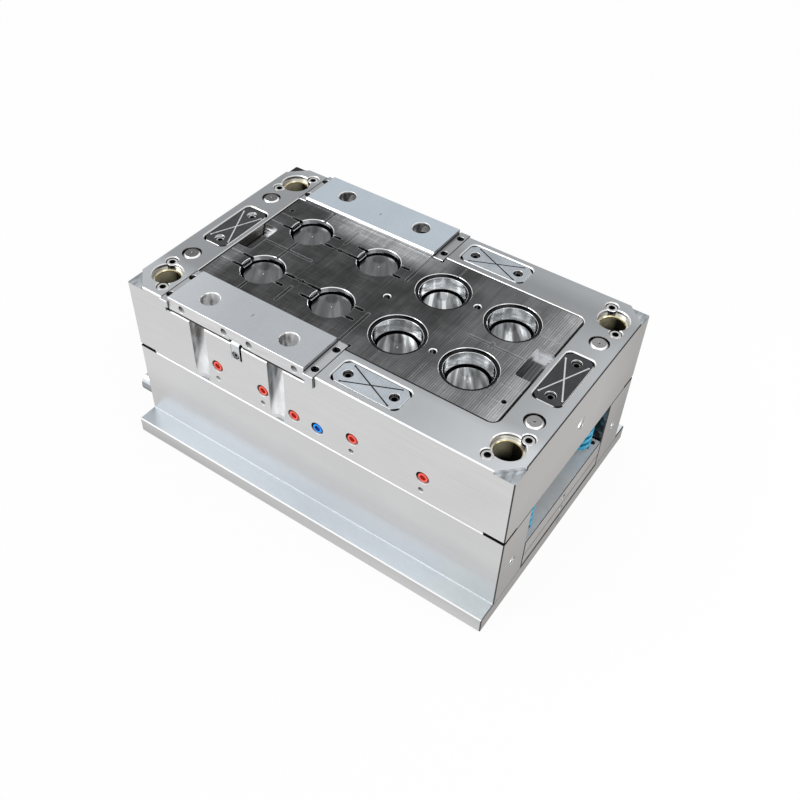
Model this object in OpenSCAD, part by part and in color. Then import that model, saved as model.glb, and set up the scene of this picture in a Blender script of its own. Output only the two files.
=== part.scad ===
// Moving half of a two-row injection mould for pipe fittings, parting face up.
// X runs along the mould base, Y across it and Z up to the parting face.
// The origin is the centre of the knock-out hole, on the underside of the clamp plate.

/* [Mould base] */
// Length of the mould base
base_len = 500; // [494:1:540]
// Width of the moving plate and of the ejector box
base_w = 300; // [296:1:330]
// Width of the clamp plate over its two clamping flanges
clamp_w = 350; // [335:1:400]
// Thickness of the clamp plate
clamp_t = 22; // [20:0.5:32]
// Height of the spacer rails
spacer_h = 106; // [100:1:130]
// Width of one spacer rail
spacer_w = 58; // [54:0.5:58]
// Thickness of the moving plate
plate_t = 97.5; // [94:0.5:115]
// Chamfer on the outer edges of the plates
edge_c = 1.2; // [0.5:0.1:2.5]
// Legs of the triangular recesses at the four corners of the parting face
corner_leg = 24; // [16:1:30]
// Depth of the corner recesses
corner_d = 4; // [2:0.5:8]
// Side of the pry slots in the lower corners of the moving plate
pry_l = 25; // [15:1:32]
// Height of the pry slots
pry_h = 3.5; // [2:0.5:6]

/* [Core insert] */
// Distance of the core insert's ends from the ends of the base
insert_in_x = 52.5; // [51.5:0.5:55]
// Distance of the core insert's sides from the sides of the base
insert_in_y = 52; // [51:0.5:53]
// Height of the core insert
insert_h = 60; // [50:1:65]
// How far the insert lies below the parting face
insert_drop = 0.5; // [0:0.1:1.5]
// Corner radius of the insert
insert_r = 12; // [8:1:16]
// Gap at each end of the insert in its pocket
insert_gap_x = 1; // [0.5:0.1:1.5]
// Gap at each side of the insert in its pocket
insert_gap_y = 0.25; // [0.1:0.05:0.5]
// Width of the tapered locating notches at the insert's ends
notch_w = 50; // [40:1:56]
// Length of the notches into the insert
notch_l = 21; // [16:1:21]
// Depth of the notches
notch_d = 10; // [6:0.5:14]
// Corner radius of the notches
notch_r = 4; // [2:0.5:6]
// Diameter of the dowel holes in the insert
dowel_d = 6; // [4:0.5:8]
// Bevel around the pockets in the parting face
pocket_rim = 0.8; // [0.3:0.1:1.2]

/* [Cavities] */
// Distance of both cavity rows from the long centre line
row_y = 45; // [43:0.5:47]
// Distance of the first column of clip cavities from the insert's left end
clip_in_x = 56; // [54.5:0.5:57]
// Distance of the last column of cap cavities from the insert's right end
cap_in_x = 62.5; // [61:0.5:64]
// How far the second column of clip cavities lies past an even spacing
clip_shift = 5.8; // [4:0.1:7]
// How far the first column of cap cavities lies past an even spacing
cap_shift = 2.7; // [1:0.1:4]
// Diameter of the cores that stand in the cavities
core_d = 44.9; // [43.5:0.1:46]
// Wall of the ejector sleeves, which is the wall of the moulded socket
sleeve_wall = 2.75; // [2:0.05:3.2]
// Diameter at the mouth of a cap cavity
cap_mouth_d = 64; // [60:0.5:66]
// Depth of the flange ledge in a cap cavity
cap_ledge_d = 2.4; // [1.5:0.1:4]
// Diameter where the ledge of a cap cavity meets its wall
cap_rim_d = 55.4; // [53.5:0.1:58]
// Depth of the conical wall of a cap cavity
cap_wall_d = 16.5; // [13:0.5:18]
// Depth of the core's face in a cap cavity
cap_core_d = 19; // [16:0.5:24]
// Depth of the socket groove in a cap cavity
cap_groove_d = 32; // [28:1:34]
// Diameter at the mouth of a clip cavity
clip_mouth_d = 51.6; // [50.8:0.1:53]
// Depth of the wall of a clip cavity
clip_wall_d = 5.5; // [4:0.5:8]
// Depth of the core's face in a clip cavity
clip_core_d = 7; // [5.5:0.5:9]
// Depth of the socket groove in a clip cavity
clip_groove_d = 15; // [12:1:20]
// Distance of the lug slots from the cavity's own centre line
lug_y = 9.3; // [8:0.1:10.5]
// Width of the lug slots
lug_w = 4.2; // [3:0.1:4.6]
// Reach of the lug slots from the cavity's centre
lug_reach = 35.5; // [33:0.5:38]
// Depth of the lug slots
lug_d = 3.6; // [2:0.1:6]
// Width of the ribbed hinge step between the left lug slots
hinge_w = 14; // [12:0.5:14]
// Distance of the hinge step's face from the cavity's centre
hinge_reach = 22.4; // [22:0.1:23]
// Height of the hinge step
hinge_h = 5.2; // [4:0.2:5.4]
// Number of ribs on the hinge step
hinge_ribs = 5; // [3:1:5]
// Width of the runner between two clip cavities
runner_w = 2.6; // [2:0.1:3.6]
// Depth of the runner
runner_d = 2.4; // [1.5:0.1:3.5]
// Diameter of the cold wells over the ejector pins
well_d = 7.6; // [7:0.1:9]
// Depth of the cold wells
well_h = 9; // [6:0.5:14]
// Width of the shallow vent grooves
vent_w = 3.6; // [2:0.2:5]
// Depth of the shallow vent grooves
vent_d = 0.8; // [0.3:0.1:1.2]
// Width of the thin vent lines
line_w = 1.2; // [0.8:0.1:2]
// Depth of the thin vent lines
line_d = 0.5; // [0.3:0.1:1]

/* [Side slides] */
// Distance of the slides from the left end of the base
slide_in_x = 62.5; // [61.5:0.5:63]
// Length of a slide
slide_l = 189; // [187:1:190]
// How far a slide's nose reaches over the insert
slide_nose = 7; // [5:0.5:8]
// Height of a slide
slide_h = 20; // [18:0.5:26]
// Depth of the slide floor below the parting face
slide_floor = 15; // [14:0.5:17]
// Chamfer on the inner top edge of a slide
slide_c = 2; // [1:0.5:4]
// Width of the lips that run under the gibs
lip_w = 3; // [2:0.5:3]
// Height of the lips
lip_h = 6; // [4:0.5:8]
// Running gap of the slides and their lips
slide_gap = 0.06; // [0.03:0.01:0.1]
// Gap beside a slide, above its lips
slide_play = 0.4; // [0.2:0.1:0.8]
// Travel of a slide
slide_travel = 15; // [10:1:15]
// Slope of the angle pins from upright
pin_angle = 18; // [14:1:20]
// Distance between the two angle pin holes of a slide
pin_pitch = 110; // [108:1:112]
// Distance of the angle pin holes from the sides of the base, at the slide's top
pin_in_y = 25.5; // [24:0.5:28]
// Diameter of the angle pin holes in the slides
pin_hole_d = 21; // [18:0.5:22]
// Width of the angle pin reliefs in the moving plate
relief_w = 22; // [21:0.5:23]
// Diameter of the tapped blind holes in a slide's outer face
slide_port_d = 8.5; // [6:0.5:9]
// Width of the gibs at the outer end of the base
gib_w_left = 11; // [10.5:0.5:12]
// Width of the gibs beside the wear plates
gib_w_right = 14; // [13:0.5:16]
// Overhang of the gibs past the plate's side
gib_over = 2.5; // [0:0.5:4]
// Gap between a gib and the plate beside it
gib_gap = 0.6; // [0.2:0.1:0.8]
// Width of a slide's stop block
stop_w = 11.7; // [10:0.1:12.5]
// Height of a stop block
stop_h = 23; // [20:0.5:26]
// Thickness of a stop block
stop_t = 8; // [7:0.5:10]
// Rise of a stop block above the slide floor
stop_rise = 3; // [2:0.5:3.5]

/* [Guides and wear plates] */
// Distance of the guide bushes from the ends of the base
bush_in_x = 28; // [27:0.5:28.5]
// Distance of the guide bushes from the sides of the base
bush_in_y = 35; // [34:0.5:36]
// Bore of the guide bushes
bush_bore = 28; // [26:0.5:29]
// Outer diameter of the guide bushes
bush_od = 35; // [33.5:0.5:35.5]
// How far the bushes lie below the parting face
bush_sink = 6.5; // [6:0.5:9]
// Wear plate length
wear_l = 83; // [78:1:86]
// Wear plate width
wear_w = 33; // [30:0.5:34]
// Wear plate thickness
wear_t = 11; // [10.5:0.5:14]
// Chamfer of the wear plates' corners
wear_c = 7; // [5:0.5:8]
// Gap around a wear plate in its pocket
wear_gap = 0.5; // [0.3:0.1:1]
// How far the wear plates lie below the parting face
wear_sink = 1; // [0.5:0.5:2]
// Distance of the end wear plates from the ends of the base
wear_in_x = 28.7; // [28:0.1:30]
// Distance of the side wear plates from the sides of the base
wear_in_y = 25.5; // [24:0.5:27]
// Distance of the side wear plates from the slides' channels
wear_side = 10.7; // [9:0.1:30]

/* [Ejector] */
// Height of the rest buttons
rest_h = 4; // [3:0.5:6]
// Thickness of the ejector base plate
eject_base_t = 18; // [16:0.5:22]
// Thickness of the ejector retainer plate
eject_top_t = 23; // [20:0.5:25]
// Gap between the ejector plates and the spacers
eject_gap = 1; // [0.5:0.1:2]
// Stroke of the ejector plates
eject_stroke = 35; // [25:1:35]
// Diameter of the return pins
return_d = 20; // [18:0.5:20]
// Distance of the return pins from the ends of the base
return_in_x = 24; // [23:0.5:25]
// Distance of the return pins from the sides of the ejector plates
return_in_y = 20; // [19:0.5:21]
// Outer diameter of the return springs
spring_od = 35; // [33:0.5:35]
// Radial thickness of the spring wire
spring_wire_w = 6; // [4:0.5:6]
// Height of the spring wire
spring_wire_h = 5.5; // [4:0.5:6]
// Number of turns of a return spring
spring_turns = 8.5; // [6:0.5:10]
// Depth of the spring pockets in the moving plate
spring_pocket = 25; // [20:1:30]
// Diameter of the ejector pins
eject_pin_d = 6; // [4:0.5:6.5]
// Diameter of the support pillars
pillar_d = 35; // [30:1:38]
// Distance of the two outer support pillars from the ends of the base
pillar_in_x = 62; // [60:1:64]
// Knock-out hole in the clamp plate
knock_d = 40; // [34:1:44]
// Running gap of every pin and sleeve, on the radius
run_gap = 0.05; // [0.03:0.01:0.09]

/* [Outer fittings] */
// Diameter of the small blind holes below the upper water ports
pilot_d = 6; // [4:0.5:7]
// Height of the upper water ports above the underside of the moving plate
port_z = 34.3; // [32:0.1:36]
// Drop of the two middle water ports
port_drop = 12.8; // [10:0.1:13]
// Diameter of a water port's recess
port_d = 15.6; // [14:0.1:16.2]
// Depth of a water port's recess
port_h = 14; // [10:1:18]
// Outer diameter of the coloured plugs
plug_d = 11.6; // [10:0.1:12.5]
// Diameter of the round foot pegs on the left end
peg_d = 25; // [20:1:28]
// Length of the foot pegs
peg_l = 27; // [20:1:35]
// Distance of the foot pegs from the sides of the base
peg_in_y = 20; // [18:1:22]
// Height of the foot pegs above the clamp plate
peg_z = 17; // [15:1:22]

/* [Hidden] */
$fn = 96;

// Heights of the stacked plates
z_spacer = clamp_t;
z_plate = z_spacer + spacer_h;
z_top = z_plate + plate_t;
z_insert = z_top - insert_drop;
z_pocket = z_insert - insert_h;
z_floor = z_top - slide_floor;
z_eject = clamp_t + rest_h;
z_retainer = z_eject + eject_base_t;
z_eject_top = z_retainer + eject_top_t;

// Screws: thread, head diameter, head height, socket width
M4 = [4, 7, 4, 3];
M5 = [5, 8.5, 5, 4];
M6 = [6, 10, 6, 5];
M8 = [8, 13, 8, 6];
M8_low = [8, 13, 5, 5];
M10 = [10, 16, 10, 8];
M14 = [14, 21, 14, 12];
head_play = 1.5;
thread_play = 0.05;
hole_play = 0.3;

// Places that several pieces share
bush_x = base_len / 2 - bush_in_x;
bush_y = base_w / 2 - bush_in_y;
spacer_y = base_w / 2 - spacer_w / 2;
peg_y = base_w / 2 - peg_in_y;
eject_w = base_w - 2 * spacer_w - 2 * eject_gap;
return_x = base_len / 2 - return_in_x;
return_y = eject_w / 2 - return_in_y;
pillar_x = base_len / 2 - pillar_in_x;
insert_len = base_len - 2 * insert_in_x;
insert_w = base_w - 2 * insert_in_y;
column_pitch = (insert_len - clip_in_x - cap_in_x) / 3;
clip_x1 = clip_in_x - insert_len / 2;
clip_x2 = clip_x1 + column_pitch + clip_shift;
cap_x1 = clip_x1 + 2 * column_pitch + cap_shift;
cap_x2 = insert_len / 2 - cap_in_x;
cap_x = [cap_x1, cap_x2];
clip_x = [clip_x1, clip_x2];
core_r = core_d / 2;
sleeve_in = core_r + run_gap;
sleeve_out = sleeve_in + sleeve_wall;
bore_r = sleeve_out + run_gap;
clip_mid = (clip_x1 + clip_x2) / 2;
cap_mid = (cap_x1 + cap_x2) / 2;
pillar_places = [-pillar_x, clip_mid, cap_mid, pillar_x];
clip_pin_y = row_y - lug_y;
eject_pins = [[0, 0], [cap_mid, row_y], [cap_mid, -row_y], [clip_mid, clip_pin_y], [clip_mid, -clip_pin_y]];
dowel_x = insert_len / 2 - 9.5;
dowel_y = insert_w / 2 - 32.6;
dowels = [[-dowel_x, dowel_y], [dowel_x, -dowel_y]];
pocket_l = insert_len + 2 * insert_gap_x;
pocket_w = insert_w + 2 * insert_gap_y;
pocket_r = insert_r - 1;
end_hole_d = 8.5;
lift_hole_d = 17.5;
lift_hole_z = 47;
rail_hole_d = 12;
rail_hole_z = 48.5;
lift_hole_l = 36;
base_screw_in_x = 65;
base_screw_in_y = 30;
base_screw_x = base_len / 2 - base_screw_in_x;
base_screw_y = base_w / 2 - base_screw_in_y;
base_thread_l = 28;
insert_screw_x = insert_len / 2 - 27.5;
insert_screw_y = row_y + 30;
insert_screws_at = [for (x = [-insert_screw_x, 0, insert_screw_x], s = [-1, 1]) [x, s * insert_screw_y]];
rest_x = base_len / 2 - 42;
rest_y = 35;
rest_mid_y = eject_w / 2 - 16;
rest_places = [for (s = [-1, 1]) each [[-rest_x, s * rest_y], [0, s * rest_mid_y], [rest_x, s * rest_y]]];
plate_screw_in = 7.5;
bush_screw_dx = 11.5;
bush_screw_dy = 19.5;
bush_screw_l = 20;
port_xs_red = [clip_x1 + 17.5, clip_x2 - 15, cap_x1 + 16.5, cap_x2 + 15.5];
port_x_mid = 16;
slide_ports = [-75.5, -14.5, 20.5, 81.5];
slide_left = slide_in_x - base_len / 2;
slide_right = slide_left + slide_l;
slide_x = (slide_left + slide_right) / 2;
slide_in = insert_w / 2 - slide_nose;
pin_y = base_w / 2 - pin_in_y;
gib_screws_y = [slide_in + 13, base_w / 2 - 10];
channel_left = slide_left - gib_w_left;
channel_right = slide_right + gib_w_right;
wear_x = channel_right + wear_side + wear_l / 2;
shelf_y = slide_in - 0.3;
gib_screw_left = channel_left + gib_w_left / 2 - 0.8;
gib_screw_right = channel_right - gib_w_right / 2;
stop_x = slide_x - 0.3;
stop_side_gap = 3.2;
stop_screw_z = z_floor + stop_rise - stop_h + 5;
stop_slot_gap = 6;
stop_slot_h = stop_rise + 2.7;
sleeve_head_r = sleeve_out + 3.7;
sleeve_head_h = 8;
pin_head_h = 8;
return_head_r = return_d / 2 + 4;
plate_gap = 0.25;
gib_head_z = slide_floor - M4[2] - 4.5;
wear_head_z = wear_t - M6[2] - 3;
wear_screw_x = wear_l * 0.346;
groove_l = wear_l * 0.78;
groove_w = 1.6;
groove_d = 0.6;
groove_turn = 24.5;
return_ring_w = 1.5;
return_ring_d = 10;
rib_pitch = 2.4;
rib_w = 1.3;
runner_wells = [-12, 12];
floor_c = 1.6;
steel = [0.74, 0.75, 0.77];
bright = [0.85, 0.86, 0.88];
dark = [0.33, 0.34, 0.36];

// Helpers

// Outline of a rectangle with cut corners
function cut_rect(l, w, c) = [
    [-l / 2 + c, -w / 2], [l / 2 - c, -w / 2], [l / 2, -w / 2 + c], [l / 2, w / 2 - c],
    [l / 2 - c, w / 2], [-l / 2 + c, w / 2], [-l / 2, w / 2 - c], [-l / 2, -w / 2 + c]];

// Block centred on Z, standing on z = 0, with all its edges chamfered
module block(l, w, h, c = edge_c) {
    intersection() {
        linear_extrude(h) polygon(cut_rect(l, w, c));
        translate([-l / 2, 0, h / 2]) rotate([90, 0, 90]) linear_extrude(l) polygon(cut_rect(w, h, c));
        translate([0, w / 2, h / 2]) rotate([90, 0, 0]) linear_extrude(w) polygon(cut_rect(l, h, c));
    }
}

// Rectangle with round corners
module round_rect(l, w, r) {
    square([l - 2 * r, w], center = true);
    square([l, w - 2 * r], center = true);
    for (sx = [-1, 1], sy = [-1, 1]) {
        translate([sx * (l / 2 - r), sy * (w / 2 - r)]) circle(r);
    }
}

// Bevel c around a rectangular pocket with round corners, whose edge is at z = 0
module rim(l, w, r, c) {
    for (v = [[l, w, 0], [w, l, 90]]) {
        rotate([0, 0, v[2]]) translate([r - v[0] / 2, 0, 0]) rotate([90, 0, 90])
            linear_extrude(v[0] - 2 * r)
                polygon([[-v[1] / 2, -c], [v[1] / 2, -c], [v[1] / 2 + c + 1, 1], [-v[1] / 2 - c - 1, 1]]);
    }
    for (sx = [-1, 1], sy = [-1, 1]) {
        translate([sx * (l / 2 - r), sy * (w / 2 - r), -c]) cylinder(r1 = r, r2 = r + c + 1, h = c + 1);
    }
}

// Puts a copy of its children in each quarter
module quarters(x, y) {
    for (sx = [-1, 1], sy = [-1, 1]) {
        translate([sx * x, sy * y, 0]) children();
    }
}

// Puts its children on the front side or, turned over, on the back side
module side(s) {
    scale([1, s < 0 ? 1 : -1, 1]) children();
}

// Turned bar with a chamfer at its upper end
module bar(r, h, c = 0.5) {
    cylinder(r = r, h = h - c);
    translate([0, 0, h - c]) cylinder(r1 = r, r2 = r - c, h = c);
}

// Socket cap screw; the underside of its head is at z = 0 and the shank points down
module cap_screw(m, l) {
    difference() {
        union() {
            bar(m[1] / 2, m[2], 0.4);
            translate([0, 0, -l]) cylinder(d = m[0], h = l + m[2] / 2);
        }
        translate([0, 0, m[2] * 0.4]) cylinder(d = m[3] / cos(30), h = m[2], $fn = 6);
    }
}

// Room for a cap screw: head room up to the face, clearance down to z = -through, thread below it
module screw_room(m, through, thread, face, bevel = 0.3) {
    head_r = (m[1] + head_play) / 2;
    cylinder(r = head_r, h = face + 1);
    translate([0, 0, face - bevel]) cylinder(r1 = head_r, r2 = head_r + bevel + 1, h = bevel + 1);
    translate([0, 0, -through]) cylinder(r = m[0] / 2 + hole_play, h = through + 1);
    translate([0, 0, -through - thread]) cylinder(r = m[0] / 2 + thread_play, h = thread + 1);
}

// Mould base

module clamp_plate() {
    color(steel)
    difference() {
        block(base_len, clamp_w, clamp_t);
        translate([0, 0, -1]) cylinder(d = knock_d, h = clamp_t + 2);
        quarters(base_screw_x, base_screw_y) base_screw_room();
        each_core() core_screw_room();
        for (x = pillar_places) {
            translate([x, 0, 0]) core_screw_room();
        }
        end_hole(1, 0, clamp_t / 2, end_hole_d, 20);
    }
}

// Blind hole in the end face at x = s * base_len / 2
module end_hole(s, y, z, d, depth) {
    translate([s * (base_len / 2 - depth), y, z]) rotate([0, s * 90, 0]) cylinder(d = d, h = depth + 1);
}

module base_screw_room() {
    translate([0, 0, -1]) cylinder(d = M14[1] + head_play, h = M14[2] + 2);
    cylinder(r = M14[0] / 2 + hole_play, h = z_plate - 0.01);
    cylinder(r = M14[0] / 2 + thread_play, h = z_plate + base_thread_l);
}

module core_screw_room() {
    translate([0, 0, -1]) cylinder(d = M8[1] + head_play, h = M8[2] + 2);
    cylinder(r = M8[0] / 2 + hole_play, h = clamp_t + 0.5);
}

module spacer() {
    color(steel)
    difference() {
        translate([0, spacer_y, z_spacer - edge_c]) block(base_len, spacer_w, spacer_h + edge_c);
        translate([-base_len, 0, 0]) cube([2 * base_len, base_w, z_spacer]);
        for (sx = [-1, 1]) {
            translate([sx * base_screw_x, base_screw_y, 0]) base_screw_room();
            end_hole(sx, spacer_y, z_spacer + rail_hole_z, rail_hole_d, 26);
        }
        end_hole(-1, peg_y, z_spacer + peg_z, M10[0] + 2 * thread_play, 24);
    }
}

module spacer_front() {
    side(-1) mirror([0, 1, 0]) spacer();
}

module spacer_back() {
    spacer();
}

module moving_plate() {
    color(steel)
    difference() {
        translate([0, 0, z_plate]) block(base_len, base_w, plate_t);
        corner_cuts();
        translate([0, 0, z_pocket]) insert_pocket();
        translate([0, 0, z_top]) rim(pocket_l, pocket_w, pocket_r, pocket_rim);
        quarters(bush_x, bush_y) bush_hole();
        bush_screw_places() screw_room(M8_low, 6, 16, bush_sink, 1);
        quarters(return_x, return_y) return_hole();
        sleeve_holes(z_plate - 1, z_pocket + 1, bore_r + 1);
        for (p = eject_pins) {
            translate([p[0], p[1], z_plate - 1]) cylinder(d = eject_pin_d + 1, h = z_pocket - z_plate + 2);
        }
        wear_places() wear_pocket();
        for (s = [-1, 1]) {
            side(s) slide_channel();
            side(s) angle_reliefs();
            side(s) stop_pocket();
        }
        gib_screw_places() translate([0, 0, -9]) cylinder(r = M4[0] / 2 + thread_play, h = 10);
        quarters(base_screw_x, base_screw_y) base_screw_room();
        insert_screw_places() insert_screw_room();
        water_places() water_port();
        for (x = port_xs_red) {
            translate([x - 1, -base_w / 2, z_plate + port_z - 19.3]) side_hole(pilot_d, 8);
        }
        for (s = [-1, 1]) {
            end_hole(s, 0, z_plate + lift_hole_z, lift_hole_d, lift_hole_l);
        }
    }
}

module corner_cuts() {
    for (sx = [-1, 1], sy = [-1, 1]) {
        scale([sx, sy, 1]) translate([base_len / 2, base_w / 2, 0]) {
            translate([0, 0, z_top - corner_d])
                linear_extrude(corner_d + 1)
                    polygon([[-corner_leg, 0], [0, -corner_leg], [2, -corner_leg], [2, 2], [-corner_leg, 2]]);
            translate([-pry_l, -pry_l, z_plate - 1]) cube([pry_l + 1, pry_l + 1, pry_h + 1]);
        }
    }
}

// Blind hole with a bevelled mouth, from the front side inwards
module side_hole(d, depth) {
    bevel = 0.6;
    translate([0, -1, 0]) rotate([-90, 0, 0]) {
        cylinder(d = d, h = depth + 1);
        cylinder(r1 = d / 2 + bevel + 1, r2 = d / 2, h = bevel + 1);
    }
}

module insert_pocket() {
    linear_extrude(plate_t) round_rect(pocket_l, pocket_w, pocket_r);
}

module bush_hole() {
    hole_r = bush_od / 2 + run_gap;
    bevel = 1.2;
    translate([0, 0, z_plate - 1]) cylinder(r = hole_r, h = plate_t + 2);
    translate([0, 0, z_top - bevel]) cylinder(r1 = hole_r, r2 = hole_r + bevel + 1, h = bevel + 1);
}

// The two screws of each bush, with their heads on its rim
module bush_screw_places() {
    for (sx = [-1, 1], sy = [-1, 1], k = [-1, 1]) {
        translate([sx * (bush_x + k * bush_screw_dx), sy * (bush_y - k * bush_screw_dy), z_top - bush_sink])
            children();
    }
}

module return_hole() {
    translate([0, 0, z_plate - 1]) cylinder(d = spring_od + 2, h = spring_pocket + 1);
    translate([0, 0, z_plate]) cylinder(r = return_d / 2 + run_gap, h = plate_t + 1);
    translate([0, 0, z_top - return_ring_d])
        cylinder(r = return_d / 2 + return_ring_w, h = return_ring_d + 1);
}

// Children at every core: caps first, then clips
module each_core() {
    for (x = concat(cap_x, clip_x), sy = [-1, 1]) {
        translate([x, sy * row_y, 0]) children();
    }
}

module sleeve_holes(z0, z1, r) {
    each_core() translate([0, 0, z0]) cylinder(r = r, h = z1 - z0);
}

module gib_screw_places() {
    for (x = [gib_screw_left, gib_screw_right], y = gib_screws_y, s = [-1, 1]) {
        translate([x, s * y, z_floor]) children();
    }
}

module slide_channel() {
    translate([channel_left, -base_w / 2 - gib_over - 1, z_floor])
        cube([channel_right - channel_left, base_w / 2 + gib_over + 1 - shelf_y, slide_floor + 1]);
    translate([slide_left, -base_w / 2, z_floor]) rotate([90, 0, 90])
        linear_extrude(slide_l) polygon([[-1, -floor_c - 1], [floor_c + 1, 1], [-1, 1]]);
}

// Slots for the angle pins; they follow the pins' slope and break out of the plate's side
module angle_reliefs() {
    for (k = [-1, 1]) {
        translate([slide_x + k * pin_pitch / 2, -pin_y, z_floor + slide_h]) rotate([-pin_angle, 0, 0]) {
            translate([0, 0, -plate_t * 1.3]) cylinder(d = relief_w, h = plate_t * 1.3 - 2);
            translate([-relief_w / 2, -base_w / 4, -plate_t * 1.3])
                cube([relief_w, base_w / 4, plate_t * 1.3 - 2]);
        }
    }
}

module stop_pocket() {
    translate([stop_x - stop_w / 2 - 0.1, -base_w / 2 - 1, z_floor + stop_rise - stop_h])
        cube([stop_w + 0.1 + stop_side_gap, stop_t + 1, stop_h]);
    translate([stop_x, -base_w / 2 + stop_t, stop_screw_z]) rotate([-90, 0, 0])
        cylinder(r = M5[0] / 2 + thread_play, h = 12);
}

module insert_screw_places() {
    for (p = insert_screws_at) {
        translate([p[0], p[1], 0]) children();
    }
}

module insert_screw_room() {
    translate([0, 0, z_plate - 1]) cylinder(d = M10[1] + head_play, h = M10[2] + 2);
    translate([0, 0, z_plate]) cylinder(r = M10[0] / 2 + hole_play, h = z_pocket - z_plate + 1);
}

module water_places() {
    for (x = port_xs_red) {
        translate([x, -base_w / 2, z_plate + port_z]) children();
    }
    for (k = [-1, 1]) {
        translate([k * port_x_mid, -base_w / 2, z_plate + port_z - port_drop]) children();
    }
}

module water_port() {
    rotate([-90, 0, 0]) {
        translate([0, 0, -1]) cylinder(d = port_d, h = port_h + 1);
        translate([0, 0, -1]) cylinder(r1 = port_d / 2 + 1.4, r2 = port_d / 2, h = 1.4);
        cylinder(d = plug_d - 2, h = port_h + 30);
    }
}

// Core insert and cores

module core_insert() {
    color(dark)
    difference() {
        translate([0, 0, z_pocket]) insert_block();
        for (s = [-1, 1]) {
            side(s) insert_shelf();
            scale([s, 1, 1]) end_notch();
        }
        for (x = cap_x, sy = [-1, 1]) {
            translate([x, sy * row_y, z_insert]) cap_cavity();
        }
        for (x = clip_x, sy = [-1, 1]) {
            translate([x, sy * row_y, z_insert]) clip_cavity();
        }
        for (s = [-1, 1]) {
            side(s) runner();
            side(s) clip_vents();
            side(s) vent_lines();
        }
        centre_vents();
        for (p = eject_pins) {
            translate([p[0], p[1], 0]) pin_well(p[0] != clip_mid);
        }
        for (p = dowels) {
            translate([p[0], p[1], z_insert - 14]) cylinder(d = dowel_d, h = 15);
        }
        insert_screw_places() translate([0, 0, z_pocket - 1]) cylinder(r = M10[0] / 2 + thread_play, h = 19);
    }
}

module insert_block() {
    intersection() {
        linear_extrude(insert_h) round_rect(insert_len, insert_w, insert_r);
        translate([0, 0, -edge_c]) block(insert_len, insert_w, insert_h + edge_c, edge_c);
    }
}

// Shelf on which the slide's nose and the gibs' ends lie
module insert_shelf() {
    translate([channel_left - 1, -insert_w / 2 - 1, z_floor])
        cube([channel_right + 1.3 - channel_left, insert_w / 2 + 1 - shelf_y, insert_h]);
    translate([channel_right - 1, -shelf_y, z_floor]) cylinder(r = 2.5, h = insert_h);
}

// Notch with sloping walls at one end of the insert, and a deeper slot along its outer edge
module end_notch() {
    slope = notch_d * 0.14;
    translate([insert_len / 2 - 5.5, 3 - notch_w / 2, z_insert - notch_d - 4]) cube([6.5, notch_w - 6, 5]);
    translate([insert_len / 2 - notch_l, 0, z_insert])
        for (k = [0, 1]) {
            translate([0, 0, -notch_d * (1 - k * 0.35)])
                linear_extrude(notch_d)
                    translate([(1 - k) * slope + notch_l, 0])
                        round_rect(2 * notch_l, notch_w - 2 * (1 - k) * slope, notch_r);
        }
}

module cap_cavity() {
    mouth = cap_mouth_d / 2;
    rim = cap_rim_d / 2;
    step_r = bore_r + (rim - bore_r) * 0.45;
    rotate_extrude()
        polygon([[0, 1], [mouth + 0.5, 1], [mouth + 0.5, 0], [mouth, -0.5], [mouth, -cap_ledge_d],
            [rim + 0.3, -cap_ledge_d], [rim, -cap_ledge_d - 0.3], [step_r, -cap_wall_d * 0.7],
            [bore_r, -cap_wall_d], [bore_r, -insert_h - 1], [0, -insert_h - 1]]);
}

module clip_cavity() {
    mouth = clip_mouth_d / 2;
    difference() {
        rotate_extrude()
            polygon([[0, 1], [mouth + 0.7, 1], [mouth + 0.7, 0], [mouth, -0.7], [bore_r, -clip_wall_d],
                [bore_r, -insert_h - 1], [0, -insert_h - 1]]);
        hinge_step();
    }
    for (sx = [-1, 1], sy = [-1, 1]) {
        lug_slot(sx, sy * lug_y);
    }
}

// Ribbed step on the left of a clip cavity, sloping down to the core
module hinge_step() {
    back = bore_r + 4;
    translate([0, hinge_w / 2, 0]) rotate([90, 0, 0]) linear_extrude(hinge_w)
        polygon([[-back, -hinge_h], [-hinge_reach, -hinge_h], [-hinge_reach, 0.6 - hinge_h],
            [1.5 - back, -1.2], [-back, -1.2]]);
    for (i = [0:hinge_ribs - 1]) {
        translate([-back, (i - (hinge_ribs - 1) / 2) * rib_pitch - rib_w / 2, -hinge_h])
            cube([back - hinge_reach - 0.6, rib_w, hinge_h - 0.4]);
    }
}

module lug_slot(sx, y) {
    x0 = sx > 0 ? bore_r - 5 : -lug_reach;
    translate([x0, y - lug_w / 2, -lug_d]) cube([lug_reach - (bore_r - 5), lug_w, lug_d + 1]);
    translate([sx * lug_reach, y, -lug_d]) cylinder(d = lug_w, h = lug_d + 1, $fn = 32);
}

// Runner that joins the two clip cavities of a row, with its two gate wells
module runner() {
    x0 = clip_x1 + lug_reach - 1;
    x1 = clip_x2 - lug_reach + 1;
    translate([x0, -clip_pin_y - runner_w / 2, z_insert - runner_d]) cube([x1 - x0, runner_w, runner_d + 1]);
    for (dx = runner_wells) {
        translate([clip_mid + dx, -clip_pin_y, z_insert - well_h])
            cylinder(d = runner_w + 1.8, h = well_h + 1, $fn = 32);
    }
}

// Groove along X or Y in the insert's face, from the corner [x, y] on
module face_groove(x, y, l, w, d) {
    translate([x, y, z_insert - d]) cube([l, w, d + 1]);
}

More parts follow.
